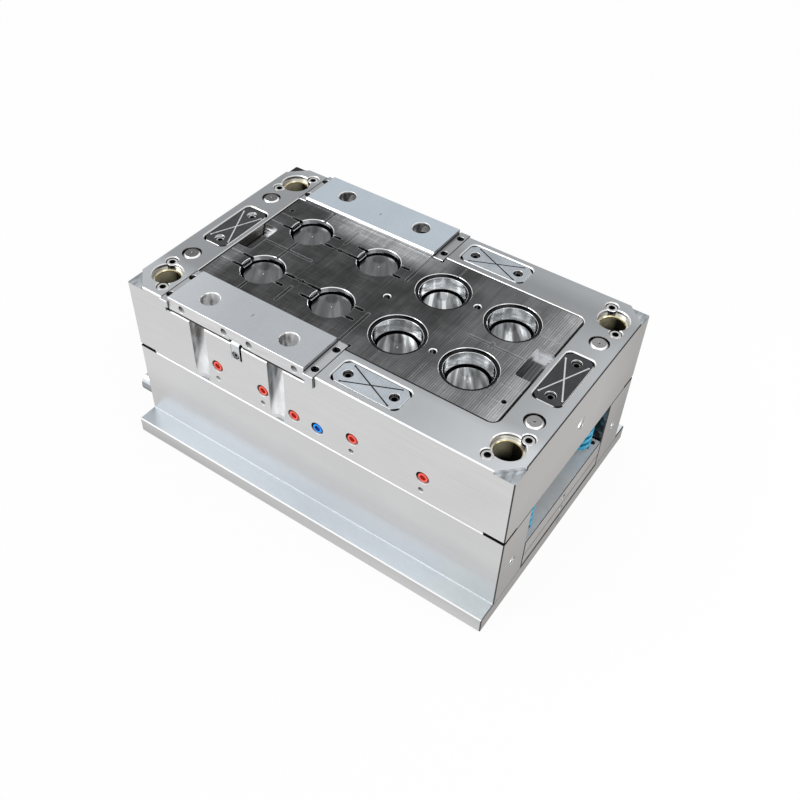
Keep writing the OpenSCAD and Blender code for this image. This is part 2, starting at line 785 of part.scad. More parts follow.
// Shallow grooves beside the clip cavities and the middle of the insert
module clip_vents() {
    y_edge = -shelf_y - 1;
    mouth_r = clip_mouth_d / 2;
    short_l = 28;
    y_short = -row_y - mouth_r - 7.2;
    x_short = clip_mid - 3;
    face_groove(clip_x1 - vent_w / 2, y_edge, vent_w, shelf_y + 2 - row_y - mouth_r, vent_d);
    face_groove(x_short - vent_w / 2, y_short, vent_w, short_l, vent_d);
    for (y = [y_short, y_short + short_l]) {
        translate([x_short, y, z_insert - vent_d]) cylinder(d = vent_w, h = vent_d + 1, $fn = 32);
    }
    face_groove(clip_x1 - vent_w / 2, mouth_r - row_y - 1, vent_w, row_y - mouth_r + 2, vent_d);
    face_groove(1 - vent_w / 2, y_edge, vent_w, shelf_y - row_y + 11, vent_d);
}

// Thin grooves that lead from the cavities to the insert's edges
module vent_lines() {
    edge_x = insert_len / 2 + 1;
    edge_y = insert_w / 2 + 1;
    mouth_r = cap_mouth_d / 2;
    cap_edge = cap_x2 + mouth_r - 1;
    for (k = [-1, 1]) {
        face_groove(-edge_x, -row_y + k * lug_y - line_w / 2, edge_x + clip_x1 - lug_reach, line_w, line_d);
    }
    for (x = cap_x) {
        face_groove(x - line_w / 2, -edge_y, line_w, edge_y + 1 - row_y - mouth_r, line_d);
    }
    face_groove(cap_edge, -row_y - line_w / 2, edge_x - cap_edge, line_w, line_d);
}

// Shallow grooves on the long centre line
module centre_vents() {
    vent_l = 69.5;
    vent_start = insert_len / 2 - notch_l - 1 - vent_l;
    for (s = [-1, 1]) {
        scale([s, 1, 1]) face_groove(vent_start, -vent_w / 2, vent_l, vent_w, vent_d);
    }
    face_groove(cap_x2 - vent_w / 2, -5, vent_w, 10, vent_d);
}

// Bore of an ejector pin, with a cold well over it where no runner passes
module pin_well(open) {
    translate([0, 0, z_pocket - 1]) cylinder(r = eject_pin_d / 2 + run_gap, h = insert_h + 2);
    if (open) {
        translate([0, 0, z_insert - well_h]) cylinder(d = well_d, h = well_h + 1);
        translate([0, 0, z_insert - 0.8]) cylinder(r1 = well_d / 2, r2 = well_d / 2 + 1.8, h = 1.8);
    }
}

// Round core that stands on the clamp plate and ends in a cavity
module core(x, s, depth) {
    color(bright)
    translate([x, s * row_y, clamp_t])
        difference() {
            bar(core_r, z_insert - depth - clamp_t, 0.4);
            translate([0, 0, -1]) cylinder(r = M8[0] / 2 + thread_play, h = 25);
            translate([0, 0, z_insert - depth - clamp_t - 0.6]) cylinder(r1 = 0.2, r2 = 1.4, h = 1.2);
        }
}

// Slides and their guides

module slide() {
    half = slide_l / 2 - slide_play;
    lip_half = slide_l / 2 + lip_w - slide_gap;
    y_out = base_w / 2;
    low_c = 1.2;
    top_c = 0.5;
    foot = 0.02;
    color(bright)
    difference() {
        union() {
            translate([slide_x - half, 0, z_floor]) rotate([90, 0, 90])
                linear_extrude(2 * half)
                    polygon([[-y_out, low_c], [-y_out + low_c, foot], [-slide_in, foot],
                        [-slide_in, slide_h - slide_c], [-slide_in - slide_c, slide_h],
                        [-y_out + top_c, slide_h], [-y_out, slide_h - top_c]]);
            translate([slide_x - lip_half, -y_out + low_c, z_floor + foot])
                cube([2 * lip_half, y_out - low_c - slide_in, lip_h - slide_gap - foot]);
        }
        for (k = [-1, 1]) {
            translate([slide_x + k * pin_pitch / 2, -pin_y, z_floor + slide_h]) rotate([-pin_angle, 0, 0]) {
                translate([0, 0, -slide_h * 1.5]) cylinder(d = pin_hole_d, h = slide_h * 3);
            }
            translate([slide_x + k * pin_pitch / 2, -pin_y, z_floor + slide_h - 2])
                cylinder(r1 = pin_hole_d / 2 - 0.8, r2 = pin_hole_d / 2 + 1.6, h = 2.4);
        }
        for (x = slide_ports) {
            translate([slide_x + x, -y_out, z_floor + 11]) side_hole(slide_port_d, 11);
        }
        translate([slide_x - 0.4, -(y_out + slide_in) / 2, z_floor + slide_h - 0.5]) cube([0.8, 5, 1]);
        translate([stop_x - stop_w / 2 - 1, -y_out - 1, z_floor - 1])
            cube([stop_w + 1 + stop_slot_gap, stop_t + slide_travel + 1.2, stop_slot_h + 1]);
    }
}

module gib(left) {
    w = (left ? gib_w_left : gib_w_right) - gib_gap;
    x_mid = left ? slide_left - w / 2 : slide_right + w / 2;
    l = base_w / 2 + gib_over - slide_in;
    color(steel)
    difference() {
        translate([x_mid, -slide_in - l / 2, z_floor]) block(w, l, slide_floor, 0.5);
        translate([left ? slide_left - lip_w : slide_right - 1, -slide_in - l - 1, z_floor - 1])
            cube([lip_w + 1, l + 2, lip_h + 1]);
        for (y = gib_screws_y) {
            translate([left ? gib_screw_left : gib_screw_right, -y, z_floor + gib_head_z])
                screw_room(M4, slide_floor, 0.1, slide_floor - gib_head_z);
        }
    }
}

module slide_stop() {
    color(bright)
    difference() {
        translate([stop_x, -base_w / 2 + stop_t / 2, z_floor + stop_rise - stop_h])
            block(stop_w, stop_t, stop_h, 0.4);
        translate([stop_x - stop_w, -base_w / 2, z_floor]) rotate([45, 0, 0])
            translate([0, -stop_t, 0]) cube([2 * stop_w, 2 * stop_t, stop_t]);
        translate([stop_x, -base_w / 2 + M5[2] + 0.5, stop_screw_z]) rotate([90, 0, 0])
            screw_room(M5, stop_t, 0.1, M5[2] + 0.5);
    }
}

// Guides and wear plates

module guide_bush(sx, sy) {
    color([0.62, 0.57, 0.46])
    translate([sx * bush_x, sy * bush_y, z_plate])
        difference() {
            bar(bush_od / 2, plate_t - bush_sink, 0.6);
            translate([0, 0, -1]) cylinder(d = bush_bore, h = plate_t);
            translate([0, 0, plate_t - bush_sink - 2])
                cylinder(r1 = bush_bore / 2 - 0.6, r2 = bush_bore / 2 + 1.2, h = 2.6);
        }
}

module wear_places() {
    for (s = [-1, 1]) {
        translate([s * (base_len / 2 - wear_in_x), 0, z_top]) rotate([0, 0, 90]) children();
        translate([wear_x, s * (base_w / 2 - wear_in_y), z_top]) children();
    }
}

module wear_pocket() {
    l = wear_l + 2 * wear_gap;
    w = wear_w + 2 * wear_gap;
    translate([0, 0, -wear_sink - wear_t]) linear_extrude(wear_sink + wear_t + 1) round_rect(l, w, wear_c);
    rim(l, w, wear_c, pocket_rim + 0.4);
    wear_screws_at() translate([0, 0, -wear_sink - wear_t - 10])
        cylinder(r = M6[0] / 2 + thread_play, h = 11);
}

module wear_screws_at() {
    for (k = [-1, 1]) {
        translate([k * wear_screw_x, 0, 0]) children();
    }
}

module wear_plate() {
    color(dark)
    translate([0, 0, -wear_sink - wear_t])
        difference() {
            intersection() {
                linear_extrude(wear_t) polygon(cut_rect(wear_l, wear_w, wear_c));
                block(wear_l, wear_w, wear_t, 0.5);
            }
            wear_screws_at() translate([0, 0, wear_head_z]) screw_room(M6, wear_t, 0.1, wear_t - wear_head_z);
            for (k = [-1, 1]) {
                translate([0, 0, wear_t - groove_d]) rotate([0, 0, k * groove_turn]) oil_groove();
            }
        }
}

module oil_groove() {
    translate([-groove_l / 2, -groove_w / 2, 0]) cube([groove_l, groove_w, 2]);
    for (k = [-1, 1]) {
        translate([k * groove_l / 2, 0, 0]) cylinder(d = groove_w + 0.8, h = 2, $fn = 24);
    }
}

// Ejector box

module support_pillar(x) {
    color(steel)
    translate([x, 0, clamp_t])
        difference() {
            union() {
                translate([0, 0, 1]) bar(pillar_d / 2, spacer_h - 1, 1);
                cylinder(r1 = pillar_d / 2 - 1, r2 = pillar_d / 2, h = 1);
            }
            translate([0, 0, -1]) cylinder(r = M8[0] / 2 + thread_play, h = 25);
        }
}

module rest_buttons() {
    color(steel)
    for (p = rest_places) {
        translate([p[0], p[1], clamp_t]) bar(10, rest_h, 0.5);
    }
}

module ejector_base_plate() {
    color(steel)
    difference() {
        translate([0, 0, z_eject]) block(base_len, eject_w, eject_base_t, 0.8);
        sleeve_holes(z_eject - 1, z_retainer + 1, core_r + 0.6);
        pillar_holes(z_eject - 1, z_retainer + 1);
        translate([0, 0, z_eject - 1]) cylinder(r = 7, h = eject_base_t - 3);
        plate_screw_places() {
            translate([0, 0, z_eject - 1]) cylinder(d = M6[1] + head_play, h = M6[2] + 2);
            translate([0, 0, z_eject]) cylinder(r = M6[0] / 2 + hole_play, h = eject_base_t + 1);
        }
        end_hole(1, 0, z_eject + eject_base_t / 2, end_hole_d, 20);
    }
}

module ejector_retainer_plate() {
    color(steel)
    difference() {
        translate([0, 0, z_retainer]) block(base_len, eject_w, eject_top_t, 0.8);
        sleeve_holes(z_retainer - 1, z_eject_top + 1, sleeve_out + 0.2);
        sleeve_holes(z_retainer - 1, z_retainer + sleeve_head_h + plate_gap, sleeve_head_r + 0.3);
        pillar_holes(z_retainer - 1, z_eject_top + 1);
        quarters(return_x, return_y) {
            translate([0, 0, z_retainer - 1]) cylinder(r = return_d / 2 + 0.15, h = eject_top_t + 2);
            translate([0, 0, z_retainer - 1])
                cylinder(r = return_head_r + 0.3, h = pin_head_h + 1 + plate_gap);
        }
        for (p = eject_pins) {
            translate([p[0], p[1], z_retainer - 1]) {
                cylinder(r = eject_pin_d / 2 + 0.2, h = eject_top_t + 2);
                cylinder(r = eject_pin_d / 2 + 2.3, h = 5 + 1 + plate_gap);
            }
        }
        plate_screw_places() translate([0, 0, z_retainer - 1])
            cylinder(r = M6[0] / 2 + thread_play, h = eject_top_t + 2);
        end_hole(1, 0, z_retainer + eject_top_t / 2, end_hole_d, 20);
    }
}

module pillar_holes(z0, z1) {
    for (x = pillar_places) {
        translate([x, 0, z0]) cylinder(d = pillar_d + 3, h = z1 - z0);
    }
}

module plate_screw_places() {
    quarters(base_len / 2 - plate_screw_in, eject_w / 2 - plate_screw_in) children();
}

module return_pin(sx, sy) {
    color(bright)
    translate([sx * return_x, sy * return_y, z_retainer])
        difference() {
            union() {
                bar(return_d / 2, z_top - z_retainer, 2);
                cylinder(r = return_head_r, h = pin_head_h);
            }
            translate([0, 0, z_top - z_retainer - 3]) cylinder(r1 = 0.3, r2 = 1.7, h = 3.2);
        }
}

// Path of a spring's wire: the end turns lie closed, the rest climb evenly
spring_steps = 16;
spring_len = z_plate + spring_pocket - z_eject_top;
spring_close = spring_wire_h + 0.4;
spring_climb = spring_len - spring_wire_h - 2 * spring_close;
function spring_z(t) =
    t < 1 ? t * spring_close
    : t > spring_turns - 1 ? spring_close + spring_climb + (t - spring_turns + 1) * spring_close
    : spring_close + (t - 1) * spring_climb / (spring_turns - 2);
function spring_ring(t) = [
    for (c = [[0, 0], [1, 0], [1, 1], [0, 1]])
        let (r = spring_od / 2 - spring_wire_w + c[0] * spring_wire_w)
            [r * cos(t * 360), r * sin(t * 360), spring_z(t) + c[1] * spring_wire_h]];

module return_spring(sx, sy) {
    n = floor(spring_turns * spring_steps);
    points = [for (i = [0:n]) each spring_ring(i / spring_steps)];
    walls = [for (i = [0:n - 1], k = [0:3])
        [4 * i + k, 4 * i + (k + 1) % 4, 4 * i + 4 + (k + 1) % 4, 4 * i + 4 + k]];
    ends = [[3, 2, 1, 0], [4 * n, 4 * n + 1, 4 * n + 2, 4 * n + 3]];
    color([0.16, 0.62, 0.78])
    translate([sx * return_x, sy * return_y, z_eject_top])
        polyhedron(points, concat(walls, ends), convexity = 10);
}

// Sleeves that strip the fittings off the cores
module ejector_sleeves() {
    color(bright)
    for (x = concat(cap_x, clip_x), s = [-1, 1]) {
        clip = x == clip_x1 || x == clip_x2;
        top = z_insert - (clip ? clip_groove_d : cap_groove_d) - z_retainer;
        translate([x, s * row_y, z_retainer])
            difference() {
                union() {
                    cylinder(r = sleeve_out, h = top);
                    cylinder(r = sleeve_head_r, h = sleeve_head_h);
                }
                translate([0, 0, -1]) cylinder(r = sleeve_in, h = z_insert - z_retainer);
                if (clip) sleeve_relief(top);
            }
    }
}

// Slot in a clip's sleeve that lets it rise past the hinge step
module sleeve_relief(top) {
    low = top + clip_groove_d - hinge_h - eject_stroke - 1;
    translate([-sleeve_out - 1, -hinge_w / 2 - 0.5, low])
        cube([sleeve_out + 1.3 - hinge_reach, hinge_w + 1, top - low + 1]);
}

module ejector_pins() {
    color(bright)
    for (p = eject_pins) {
        translate([p[0], p[1], z_retainer]) {
            cylinder(d = eject_pin_d, h = z_insert - well_h - z_retainer);
            cylinder(r = eject_pin_d / 2 + 2, h = 5);
        }
    }
}

// Fittings on the outside

module water_plug() {
    rotate([-90, 0, 0])
        difference() {
            union() {
                translate([0, 0, 0.6]) cylinder(d = plug_d, h = port_h - 0.6);
                cylinder(r1 = plug_d / 2 - 0.6, r2 = plug_d / 2, h = 0.7);
                cylinder(d = plug_d - 2.2, h = port_h + 8);
            }
            translate([0, 0, -1]) cylinder(d = 4.4, h = 12);
        }
}

module water_plugs_red() {
    color([0.92, 0.24, 0.2]) {
        for (x = port_xs_red) {
            translate([x, -base_w / 2, z_plate + port_z]) water_plug();
        }
        translate([-port_x_mid, -base_w / 2, z_plate + port_z - port_drop]) water_plug();
    }
}

module water_plug_blue() {
    color([0.08, 0.4, 0.82])
    translate([port_x_mid, -base_w / 2, z_plate + port_z - port_drop]) water_plug();
}

module foot_peg(s) {
    color(bright)
    translate([-base_len / 2, s * peg_y, z_spacer + peg_z]) rotate([0, -90, 0]) {
        bar(peg_d / 2, peg_l, 2);
        translate([0, 0, -20]) cylinder(d = M10[0], h = 21);
    }
}

// Screws

module base_screws() {
    color(steel)
    quarters(base_screw_x, base_screw_y) translate([0, 0, M14[2] + 1]) mirror([0, 0, 1])
        cap_screw(M14, z_plate + 23 - M14[2]);
}

module insert_screws() {
    color(steel)
    insert_screw_places() translate([0, 0, z_plate + M10[2] + 1]) mirror([0, 0, 1])
        cap_screw(M10, z_pocket - z_plate - M10[2] + 14);
}

module core_screw() {
    translate([0, 0, M8[2] + 1]) mirror([0, 0, 1]) cap_screw(M8, clamp_t + 18 - M8[2]);
}

module core_screws() {
    color(steel) {
        each_core() core_screw();
        for (x = pillar_places) {
            translate([x, 0, 0]) core_screw();
        }
    }
}

module ejector_plate_screws() {
    color(steel)
    plate_screw_places() translate([0, 0, z_eject + M6[2] + 1]) mirror([0, 0, 1])
        cap_screw(M6, eject_base_t + 11 - M6[2]);
}

module stop_screw() {
    translate([stop_x, -base_w / 2 + M5[2] + 0.5, stop_screw_z]) rotate([90, 0, 0]) cap_screw(M5, 12);
}

module gib_screws() {
    color(steel)
    gib_screw_places() translate([0, 0, gib_head_z]) cap_screw(M4, gib_head_z + 8);
}

module wear_plate_screws() {
    color(steel)
    wear_places() wear_screws_at() translate([0, 0, wear_head_z - wear_sink - wear_t])
        cap_screw(M6, wear_head_z + 9);
}

clamp_plate();
spacer_front();
spacer_back();
moving_plate();
core_insert();
core(cap_x1, -1, cap_core_d);  // cap_core_1
core(cap_x2, -1, cap_core_d);  // cap_core_2
core(cap_x1, 1, cap_core_d);  // cap_core_3
core(cap_x2, 1, cap_core_d);  // cap_core_4
core(clip_x1, -1, clip_core_d);  // clip_core_1
core(clip_x2, -1, clip_core_d);  // clip_core_2
core(clip_x1, 1, clip_core_d);  // clip_core_3
core(clip_x2, 1, clip_core_d);  // clip_core_4
side(-1) gib(true);  // gib_front_left
side(-1) gib(false);  // gib_front_right
side(1) gib(true);  // gib_back_left
side(1) gib(false);  // gib_back_right
side(-1) slide_stop();  // slide_stop_front
side(1) slide_stop();  // slide_stop_back
translate([-base_len / 2 + wear_in_x, 0, z_top]) rotate([0, 0, 90]) wear_plate();  // wear_plate_left
translate([base_len / 2 - wear_in_x, 0, z_top]) rotate([0, 0, 90]) wear_plate();  // wear_plate_right
translate([wear_x, -base_w / 2 + wear_in_y, z_top]) wear_plate();  // wear_plate_front
translate([wear_x, base_w / 2 - wear_in_y, z_top]) wear_plate();  // wear_plate_back
guide_bush(-1, -1);  // guide_bush_1
guide_bush(1, -1);  // guide_bush_2
guide_bush(-1, 1);  // guide_bush_3
guide_bush(1, 1);  // guide_bush_4
support_pillar(pillar_places[0]);  // support_pillar_1
support_pillar(pillar_places[1]);  // support_pillar_2
support_pillar(pillar_places[2]);  // support_pillar_3
support_pillar(pillar_places[3]);  // support_pillar_4
rest_buttons();
water_plugs_red();
water_plug_blue();
foot_peg(-1);  // foot_peg_front
foot_peg(1);  // foot_peg_back
color(steel) bush_screw_places() cap_screw(M8_low, bush_screw_l);  // bush_screws
gib_screws();
wear_plate_screws();
for (s = [-1, 1]) color(steel) side(s) stop_screw();  // stop_screws
base_screws();
insert_screws();
core_screws();
side(-1) slide();  // slide_front
side(1) slide();  // slide_back
ejector_retainer_plate();
ejector_base_plate();
ejector_plate_screws();
return_pin(-1, -1);  // return_pin_1
return_pin(1, -1);  // return_pin_2
return_pin(-1, 1);  // return_pin_3
return_pin(1, 1);  // return_pin_4
return_spring(-1, -1);  // return_spring_1
return_spring(1, -1);  // return_spring_2
return_spring(-1, 1);  // return_spring_3
return_spring(1, 1);  // return_spring_4
ejector_sleeves();
ejector_pins();
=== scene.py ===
"""Looks for the moving half of a pipe fitting mould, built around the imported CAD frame."""
import math

import bmesh
import bpy
from mathutils import Matrix, Vector

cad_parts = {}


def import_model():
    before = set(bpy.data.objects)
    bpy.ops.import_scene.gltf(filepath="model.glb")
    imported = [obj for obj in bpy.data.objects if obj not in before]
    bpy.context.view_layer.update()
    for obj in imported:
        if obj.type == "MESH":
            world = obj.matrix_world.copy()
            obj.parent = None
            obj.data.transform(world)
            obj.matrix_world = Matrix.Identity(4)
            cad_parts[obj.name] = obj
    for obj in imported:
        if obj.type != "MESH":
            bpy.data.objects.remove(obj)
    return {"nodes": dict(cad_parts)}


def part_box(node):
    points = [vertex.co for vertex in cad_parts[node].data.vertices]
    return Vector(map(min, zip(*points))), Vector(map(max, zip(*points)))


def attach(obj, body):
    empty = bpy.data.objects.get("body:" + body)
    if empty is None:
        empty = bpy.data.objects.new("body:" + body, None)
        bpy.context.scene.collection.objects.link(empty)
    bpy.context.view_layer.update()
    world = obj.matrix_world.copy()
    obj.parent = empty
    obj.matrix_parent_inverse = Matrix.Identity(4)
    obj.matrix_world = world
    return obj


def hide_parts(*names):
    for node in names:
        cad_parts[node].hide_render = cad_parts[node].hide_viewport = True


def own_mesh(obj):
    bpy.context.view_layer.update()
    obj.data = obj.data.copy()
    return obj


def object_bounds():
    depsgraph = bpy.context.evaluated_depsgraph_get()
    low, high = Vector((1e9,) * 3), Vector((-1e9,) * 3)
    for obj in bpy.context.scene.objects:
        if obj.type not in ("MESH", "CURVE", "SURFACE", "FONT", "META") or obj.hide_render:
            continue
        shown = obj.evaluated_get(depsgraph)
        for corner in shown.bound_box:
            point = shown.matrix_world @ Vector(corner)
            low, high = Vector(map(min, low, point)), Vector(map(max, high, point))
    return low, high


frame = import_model()
CAD_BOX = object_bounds()
NODES = frame["nodes"]
MM = 0.001


def box_mm(node):
    """Low and high corner of a node in millimetres."""
    low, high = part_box(node)
    return [v / MM for v in low], [v / MM for v in high]


def middle(node):
    """Middle of a node's box in millimetres."""
    low, high = box_mm(node)
    return [(a + b) / 2 for a, b in zip(low, high)]


# Places of the CAD model that the materials and the small pieces share, in millimetres
Z_TOP = box_mm("moving_plate")[1][2]
Z_INSERT = box_mm("core_insert")[1][2]
Z_PLATE = box_mm("moving_plate")[0][2]
Z_CLAMP = box_mm("clamp_plate")[1][2]
HALF_LEN = box_mm("clamp_plate")[1][0]
HALF_W = box_mm("spacer_back")[1][1]
ROW_Y = middle("cap_core_3")[1]
CLIP_X = (middle("clip_core_1")[0], middle("clip_core_2")[0])
CAP_X = (middle("cap_core_1")[0], middle("cap_core_2")[0])
Z_SLIDE = box_mm("slide_front")[1][2]
Z_FLOOR = box_mm("slide_front")[0][2]
SLIDE_X = middle("slide_front")[0]
INSERT_X, INSERT_Y = box_mm("core_insert")[1][:2]
PORT_LOW = box_mm("water_plugs_red")[0][2]
PORT_HIGH = box_mm("water_plugs_red")[1][2]
# Distance between a slide's two angle pin holes
PIN_PITCH = 110.0
RELIEF_X = (SLIDE_X - PIN_PITCH / 2, SLIDE_X + PIN_PITCH / 2)
# Half width of an angle pin's relief in the plate's side, up to where its bevel ends
RELIEF_HALF = (12.5, 13)
# Height of the painted shadow line along the foot of a slide's outer face, where it meets the plate
SLIDE_FOOT = 3.5
# Side of the pry slots at the corners of the base
PRY_SIDE = 25.0
# Distance between two cutter lines on the insert
CUTTER_PITCH = 2.6
# Direction of the painted reflection streaks on the cores and of the painted light bands in the cavities,
# along the polish, as a unit vector along X and Y
SHEEN_DIRECTION = (0.541, -0.841)

# Edges of the regions of the insert: where a region's mask is 0 and where it is 1.
# R is a distance from a cavity's axis, DEPTH is measured down from the insert's face.
CAP_R = (33.2, 32.9)
CAP_OUTER_R = (31.2, 31.6)
CAP_LEDGE_OUT_R = (32.6, 32.2)
CAP_LEDGE_IN_R = (26, 27)
CAP_STEP_DEPTH = (11.2, 11.7)
CAP_GAP_R = (33.0, 32.6)
CAP_GAP_DEPTH = (16.4, 17.2)
CLIP_R = (26.6, 26.2)
CLIP_BAND_DEPTH = (3.8, 4.6)
CLIP_GAP_R = (25.9, 25.7)
CLIP_GAP_DEPTH = (5.4, 6.0)
HINGE_X = (-21.5, -22)
HINGE_Y = (7.2, 6.9)
HINGE_R = (30, 29.5)
HINGE_DEPTH = (0.2, 0.4)
GROOVE_DEPTH = (1.0, 2.0)
SHELF_Y = (90.5, 91)
NOTCH_X = (175.5, 176)
NOTCH_Y = (26, 25.5)
NOTCH_DEPTH = (0.3, 0.6)


# Materials

class Tree:
    """Small builder for one material's node tree; lengths are in millimetres."""

    def __init__(self, name, metallic=1.0):
        self.mat = bpy.data.materials.new(name)
        self.mat.use_nodes = True
        self.t = self.mat.node_tree
        self.t.nodes.clear()
        self.out = self.add("ShaderNodeOutputMaterial")
        self.bsdf = self.add("ShaderNodeBsdfPrincipled")
        self.t.links.new(self.bsdf.outputs[0], self.out.inputs[0])
        self.bsdf.inputs["Metallic"].default_value = metallic
        self.bsdf.inputs["Specular IOR Level"].default_value = 0.5
        coord = self.add("ShaderNodeTexCoord")
        self.pos = coord.outputs["Object"]
        self.x, self.y, self.z = self.split(self.pos, 1 / MM)
        self.nx, self.ny, self.nz = self.split(coord.outputs["Normal"])

    def add(self, kind, **props):
        """New node with these properties."""
        n = self.t.nodes.new(kind)
        for k, v in props.items():
            setattr(n, k, v)
        return n

    def put(self, socket, value):
        """Links the socket to another one, or sets a value on it."""
        if isinstance(value, bpy.types.NodeSocket):
            self.t.links.new(value, socket)
        else:
            socket.default_value = value

    def split(self, v, scale=None):
        """X, Y and Z of a vector, scaled first if asked."""
        if scale:
            m = self.add("ShaderNodeVectorMath", operation="SCALE")
            self.put(m.inputs[0], v)
            m.inputs["Scale"].default_value = scale
            v = m.outputs[0]
        s = self.add("ShaderNodeSeparateXYZ")
        self.put(s.inputs[0], v)
        return s.outputs[0], s.outputs[1], s.outputs[2]

    def math(self, op, a, b=0.0):
        """Result of one math node."""
        m = self.add("ShaderNodeMath", operation=op)
        self.put(m.inputs[0], a)
        self.put(m.inputs[1], b)
        return m.outputs[0]

    def abs(self, v):
        """v without its sign."""
        return self.math("ABSOLUTE", v)

    def minus(self, a, b):
        """a less b."""
        return self.math("SUBTRACT", a, b)

    def sum(self, *vs):
        """Sum of the values."""
        out = vs[0]
        for v in vs[1:]:
            out = self.math("ADD", out, v)
        return out

    def mul(self, *vs):
        """Product of the values."""
        out = vs[0]
        for v in vs[1:]:
            out = self.math("MULTIPLY", out, v)
        return out

    def top(self, *vs):
        """Largest of the values."""
        out = vs[0]
        for v in vs[1:]:
            out = self.math("MAXIMUM", out, v)
        return out

    def step(self, v, lo, hi):
        """0 at lo, 1 at hi; lo may be the larger one."""
        r = self.add("ShaderNodeMapRange", clamp=True)
        self.put(r.inputs["Value"], v)
        self.put(r.inputs["From Min"], lo)
        self.put(r.inputs["From Max"], hi)
        return r.outputs[0]

    def span(self, v, lo, hi):
        """lo where v is 0, hi where it is 1."""
        r = self.add("ShaderNodeMapRange", clamp=True)
        self.put(r.inputs["Value"], v)
        self.put(r.inputs["To Min"], lo)
        self.put(r.inputs["To Max"], hi)
        return r.outputs[0]

    def noise(self, size, stretch=(1, 1, 1), detail=3.0, rough=0.55, offset=0.0):
        """Noise with grains of the given size, stretched along X, Y and Z."""
        m = self.add("ShaderNodeMapping")
        self.put(m.inputs["Vector"], self.pos)
        m.inputs["Scale"].default_value = [1 / (size * s * MM) for s in stretch]
        m.inputs["Location"].default_value = (offset, offset * 0.7, offset * 1.3)
        return self.noise_at(m.outputs[0], detail, rough)

    def noise_at(self, vector, detail=3.0, rough=0.55):
        """Noise at a vector, from 0 to 1."""
        n = self.add("ShaderNodeTexNoise")
        self.put(n.inputs["Vector"], vector)
        n.inputs["Scale"].default_value = 1.0
        n.inputs["Detail"].default_value = detail
        n.inputs["Roughness"].default_value = rough
        return n.outputs["Fac"]

    def colour(self, fac, a, b):
        """Colour a where fac is 0 and b where it is 1; a number stands for a grey."""
        m = self.add("ShaderNodeMix", data_type="RGBA")
        self.put(m.inputs[0], fac)
        for sock, v in ((m.inputs[6], a), (m.inputs[7], b)):
            if isinstance(v, tuple):
                v = (*v, 1.0)
            elif not isinstance(v, bpy.types.NodeSocket):
                v = (v, v, v, 1.0)
            self.put(sock, v)
        return m.outputs[2]

    def value(self, fac, a, b):
        """a where fac is 0, b where it is 1."""
        m = self.add("ShaderNodeMix", data_type="FLOAT")
        self.put(m.inputs[0], fac)
        self.put(m.inputs[2], a)
        self.put(m.inputs[3], b)
        return m.outputs[0]

    def grey(self, v, tint=(1.0, 1.0, 1.0)):
        """A value as a colour with a slight tint."""
        c = self.add("ShaderNodeCombineXYZ")
        for i in range(3):
            self.put(c.inputs[i], self.mul(v, tint[i]))
        return c.outputs[0]

    def scaled(self, colour, factor):
        """Colour times a factor."""
        m = self.add("ShaderNodeVectorMath", operation="SCALE")
        self.put(m.inputs[0], colour)
        self.put(m.inputs["Scale"], factor)
        return m.outputs[0]

    def bump(self, height, distance, strength=1.0):
        """Fine relief of the surface, as deep as the distance."""
        b = self.add("ShaderNodeBump")
        b.inputs["Distance"].default_value = distance * MM
        b.inputs["Strength"].default_value = strength
        self.put(b.inputs["Height"], height)
        self.put(self.bsdf.inputs["Normal"], b.outputs[0])

    def crevice_shade(self, reach=4.0, lo=0.12, hi=0.72, floor=0.05):
        """Painted shade from ambient occlusion: 1 on open faces and close to floor in gaps narrower than the
        reach.
        """
        ao = self.add("ShaderNodeAmbientOcclusion", samples=6)
        ao.inputs["Distance"].default_value = reach * MM
        return self.span(self.step(ao.outputs["AO"], lo, hi), floor, 1.0)

    def level(self):
        """1 on level faces that look up."""
        return self.step(self.nz, 0.9, 0.97)

    def right_end(self):
        """1 on faces turned to +X."""
        return self.step(self.nx, 0.7, 0.9)

    def edges(self):
        """1 on the bevels between an upright face and a level one, or between two upright ones."""
        lean = self.mul(self.step(self.nz, 0.5, 0.62), self.step(self.nz, 0.88, 0.8))
        corner = self.step(self.mul(self.abs(self.nx), self.abs(self.ny)), 0.32, 0.42)
        return self.top(lean, corner)

    def bevel_highlights(self, v, bright=0.95):
        """Brightness v with painted highlights on its bevels: bright, softer behind and at the right, and
        painted shade, black, on the bevels at the right end.
        """
        turned_right = self.step(self.nx, 0.2, 0.5)
        shade = self.value(self.step(self.ny, 0.2, 0.5), bright, 0.55)
        shade = self.value(turned_right, shade, 0.65)
        outer = self.mul(turned_right, self.step(self.x, HALF_LEN - 3, HALF_LEN - 2.5))
        shade = self.value(outer, shade, 0.05)
        return self.value(self.edges(), v, shade)

    def attribute(self, name):
        """A number that the mesh holds at each point."""
        a = self.add("ShaderNodeAttribute", attribute_type="GEOMETRY")
        a.attribute_name = name
        return a.outputs["Fac"]

    def stroke(self, dx, dy):
        """Offsets across and along the painted reflection streaks, which follow the polish; along is
        positive on the far side.
        """
        across = self.sum(self.mul(dx, -SHEEN_DIRECTION[1]), self.mul(dy, SHEEN_DIRECTION[0]))
        along = self.sum(self.mul(dx, -SHEEN_DIRECTION[0]), self.mul(dy, -SHEEN_DIRECTION[1]))
        return across, along

    def hole_wall(self, low=0.04, high=0.92):
        """Brightness of the wall of a hole drilled along Y: painted shade up left, painted light down right.
        """
        turn = self.sum(self.mul(self.nx, 0.8), self.mul(self.nz, -0.6))
        return self.value(self.step(turn, -0.5, 0.7), high, low)

    def rim_lines(self, width):
        """1 along the sharp edges of a face, as wide as given."""
        b = self.add("ShaderNodeBevel", samples=8)
        b.inputs["Radius"].default_value = width * MM
        geo = self.add("ShaderNodeNewGeometry")
        dot = self.add("ShaderNodeVectorMath", operation="DOT_PRODUCT")
        self.put(dot.inputs[0], b.outputs[0])
        self.put(dot.inputs[1], geo.outputs["Normal"])
        return self.step(dot.outputs["Value"], 0.97, 0.80)

